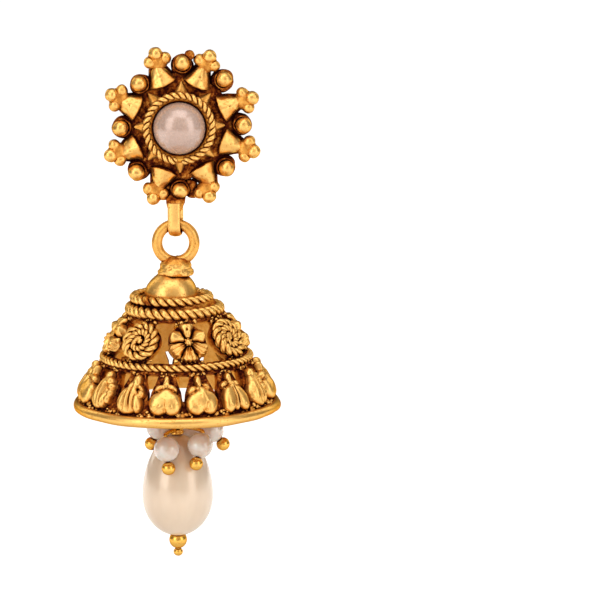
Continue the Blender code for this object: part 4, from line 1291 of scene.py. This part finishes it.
def drop_pin(form):
    """The drop's pin: its eye, its wire with another wire wrapped round it, and its end ball."""
    path = []
    for step in range(31):
        turn = math.radians(62 + 278 * step / 30)
        y = AXIS_Y + PIN_EYE_RADIUS * math.sin(turn)
        path.append(Vector((AXIS_X, y, PIN_EYE_Z - PIN_EYE_RADIUS * math.cos(turn))))
    bend = [path[-1]]
    for z in (PIN_EYE_Z - PIN_EYE_RADIUS * 1.45, PIN_EYE_Z - 3.0, END_BALL_Z):
        bend.append(Vector((AXIS_X, AXIS_Y, z)))
    path = path[:-1] + smooth_path(bend, 6)
    tube(form, path, [PIN_WIRE / 2] * len(path), 16)
    wrap = []
    for step in range(25):
        wrap.append(around_pin(-150 + 560 * step / 24, HEAD_EYE + 0.04, PEARL_TOP + 0.12 + 0.30 * step / 24))
    tube(form, wrap, [HEAD_WIRE / 2] * len(wrap), 12)
    ball(form, END_BALL, bell_axis(0.0, END_BALL_Z), 0.9, 28)


def drop_bead(form):
    """The metal bead under the pearl."""
    drilled(form, DROP_BEAD, PIN_HOLE, bell_axis(0.0, DROP_BEAD_Z))


def drop_pearl(form):
    """The pearl drop, with a dimple round its hole below."""
    profile = []
    start = math.acos(PIN_HOLE / DROP_RADIUS)
    for step in range(28):
        turn = start * (1 - step / 28)
        profile.append((DROP_RADIUS * math.cos(turn), PEARL_MIDDLE + DROP_SHOULDER * math.sin(turn)))
    end = math.acos(DIMPLE_RADIUS / DROP_RADIUS)
    for step in range(19):
        turn = end * step / 18
        profile.append((DROP_RADIUS * math.cos(turn), PEARL_MIDDLE - DROP_BELLY * math.sin(turn)))
    low = profile[-1][1]
    profile += [(DIMPLE_RADIUS * 0.8, low + 0.02), (DIMPLE_RADIUS * 0.5, low + 0.26)]
    profile += [(PIN_HOLE, low + DIMPLE_DEPTH)]
    revolve(form, profile, 80, bell_axis(), ring=True)


def make_drop():
    """The pin, the pearl, the metal bead under it, and the small beads on their head pins."""
    dress("drop_pin_looks", made_by(drop_pin), BRIGHT, "drop", "pin_gold", ["drop_pin"])
    dress("drop_bead_looks", made_by(drop_bead), BRIGHT, "drop", "pin_gold", ["drop_bead"])
    dress("drop_pearl_looks", made_by(drop_pearl), DROP_PEARL, "drop", "drop_pearl", ["drop_pearl"])
    for number, row in enumerate(BEADS, start=1):
        stone = Form()
        drilled(stone, SMALL_BEAD, HEAD_HOLE, bead_frame(row))
        stone.roughen(0.04, 1.3)
        dress(f"small_bead_looks_{number}", stone, MILKY, "drop", "milky_bead", [f"small_bead_{number}"])
        pin = Form()
        head_pin(pin, row)
        dress(f"head_pin_looks_{number}", pin, BRIGHT, "drop", "pin_gold", [f"head_pin_{number}"])


# Studio


def floor():
    """A pale floor far enough below the drop that its shadow stays soft. It glows as painted light: dimly
    under the earring and more strongly further out.
    """
    bm = bmesh.new()
    bmesh.ops.create_circle(bm, cap_ends=True, segments=64, radius=FLOOR_RADIUS)
    mesh = bpy.data.meshes.new("floor")
    bm.to_mesh(mesh)
    bm.free()
    made = placed("floor", mesh)
    made.location = (0.0, 0.0, FLOOR_Z)
    finish, tree, shader, place = blank("pale_floor_painted_glow")
    tone = cloud(tree, place, 3.0, 2.0)
    stops = ((0.0, (0.93, 0.93, 0.93)), (1.0, (0.95, 0.95, 0.95)))
    tree.links.new(colours(tree, tone, stops), shader.inputs["Base Color"])
    # Painted light: the floor glows, little near the middle under the earring and more further out, so it
    # looks white far off.
    settle(shader, {"Roughness": 0.9, "Emission Color": (1.0, 1.0, 1.0, 1.0)})
    span = tree.nodes.new("ShaderNodeVectorMath")
    span.operation = "LENGTH"
    tree.links.new(place, span.inputs[0])
    near = times(tree, spread(tree, span.outputs["Value"], 0.03, 0.12), 0.46)
    far = times(tree, spread(tree, span.outputs["Value"], 0.14, 0.65), 0.50)
    tree.links.new(plus(tree, near, far), shader.inputs["Emission Strength"])
    mesh.materials.append(finish)


def world():
    """White behind the object, and a soft warm room with a dark spot at the lens in its reflections."""
    made = bpy.data.worlds.new("studio")
    bpy.context.scene.world = made
    made.use_nodes = True
    tree = made.node_tree
    back = tree.nodes["Background"]
    look = tree.nodes.new("ShaderNodeTexCoord").outputs["Generated"]
    split = tree.nodes.new("ShaderNodeSeparateXYZ")
    tree.links.new(look, split.inputs["Vector"])
    behind = spread(tree, split.outputs["Y"], 0.1, 0.9)
    lens = spread(tree, split.outputs["Y"], -0.975, -0.995)
    rise = spread(tree, split.outputs["Z"], -0.1, 0.9)
    front = spread(tree, split.outputs["Y"], -0.35, -0.9)
    level = plus(tree, times(tree, rise, 0.22), 0.22)
    level = plus(tree, level, times(tree, front, 0.33))
    for dark, share in ((behind, 0.5), (lens, 0.6)):
        level = times(tree, level, maths(tree, "SUBTRACT", 1.0, times(tree, dark, share)))
    rays = tree.nodes.new("ShaderNodeLightPath").outputs["Is Camera Ray"]
    level = maths(tree, "MAXIMUM", level, times(tree, rays, 1.05))
    tree.links.new(level, back.inputs["Strength"])
    stops = ((0.0, (1.0, 0.87, 0.72)), (1.0, (1.0, 1.0, 1.0)))
    tree.links.new(colours(tree, rays, stops), back.inputs["Color"])


def softbox(name, azimuth, elevation, distance, width, height, radiance):
    """A large soft light aimed at the earring. Azimuth 0 is at the camera's side and 90 is at the right."""
    data = bpy.data.lights.new(name, "AREA")
    data.shape = "RECTANGLE"
    data.size = width
    data.size_y = height
    data.energy = radiance * math.pi * width * height
    made = placed(name, data)
    turn = math.radians(azimuth)
    rise = math.radians(elevation)
    way = Vector((math.sin(turn) * math.cos(rise), -math.cos(turn) * math.cos(rise), math.sin(rise)))
    made.location = Vector((0.0, 0.0, -0.02)) + way * distance
    made.rotation_euler = way.to_track_quat("Z", "Y").to_euler()


def camera():
    """The camera at the photograph's place: level with the stud, looking a little down."""
    data = bpy.data.cameras.new("camera")
    data.sensor_width = 36.0
    data.lens = 150.0
    data.clip_start = 0.01
    made = placed("camera", data)
    made.location = (AXIS_X * MM, (AXIS_Y - CAMERA_BACK) * MM, CAMERA_Z * MM)
    made.rotation_euler = (math.radians(90 - CAMERA_DIP), 0.0, math.radians(-CAMERA_TURN))
    bpy.context.scene.camera = made


make_stud()
make_bell()
make_drop()
floor()
world()
softbox("key_left", -46, 24, 0.45, 0.24, 0.42, 2.0)
softbox("key_right", 50, 20, 0.45, 0.20, 0.42, 1.6)
softbox("top", 0, 70, 0.45, 0.42, 0.30, 1.7)
softbox("rim_left", -135, 25, 0.5, 0.22, 0.4, 1.4)
softbox("rim_right", 135, 25, 0.5, 0.22, 0.4, 1.4)
camera()
bpy.context.scene.view_settings.view_transform = "Standard"
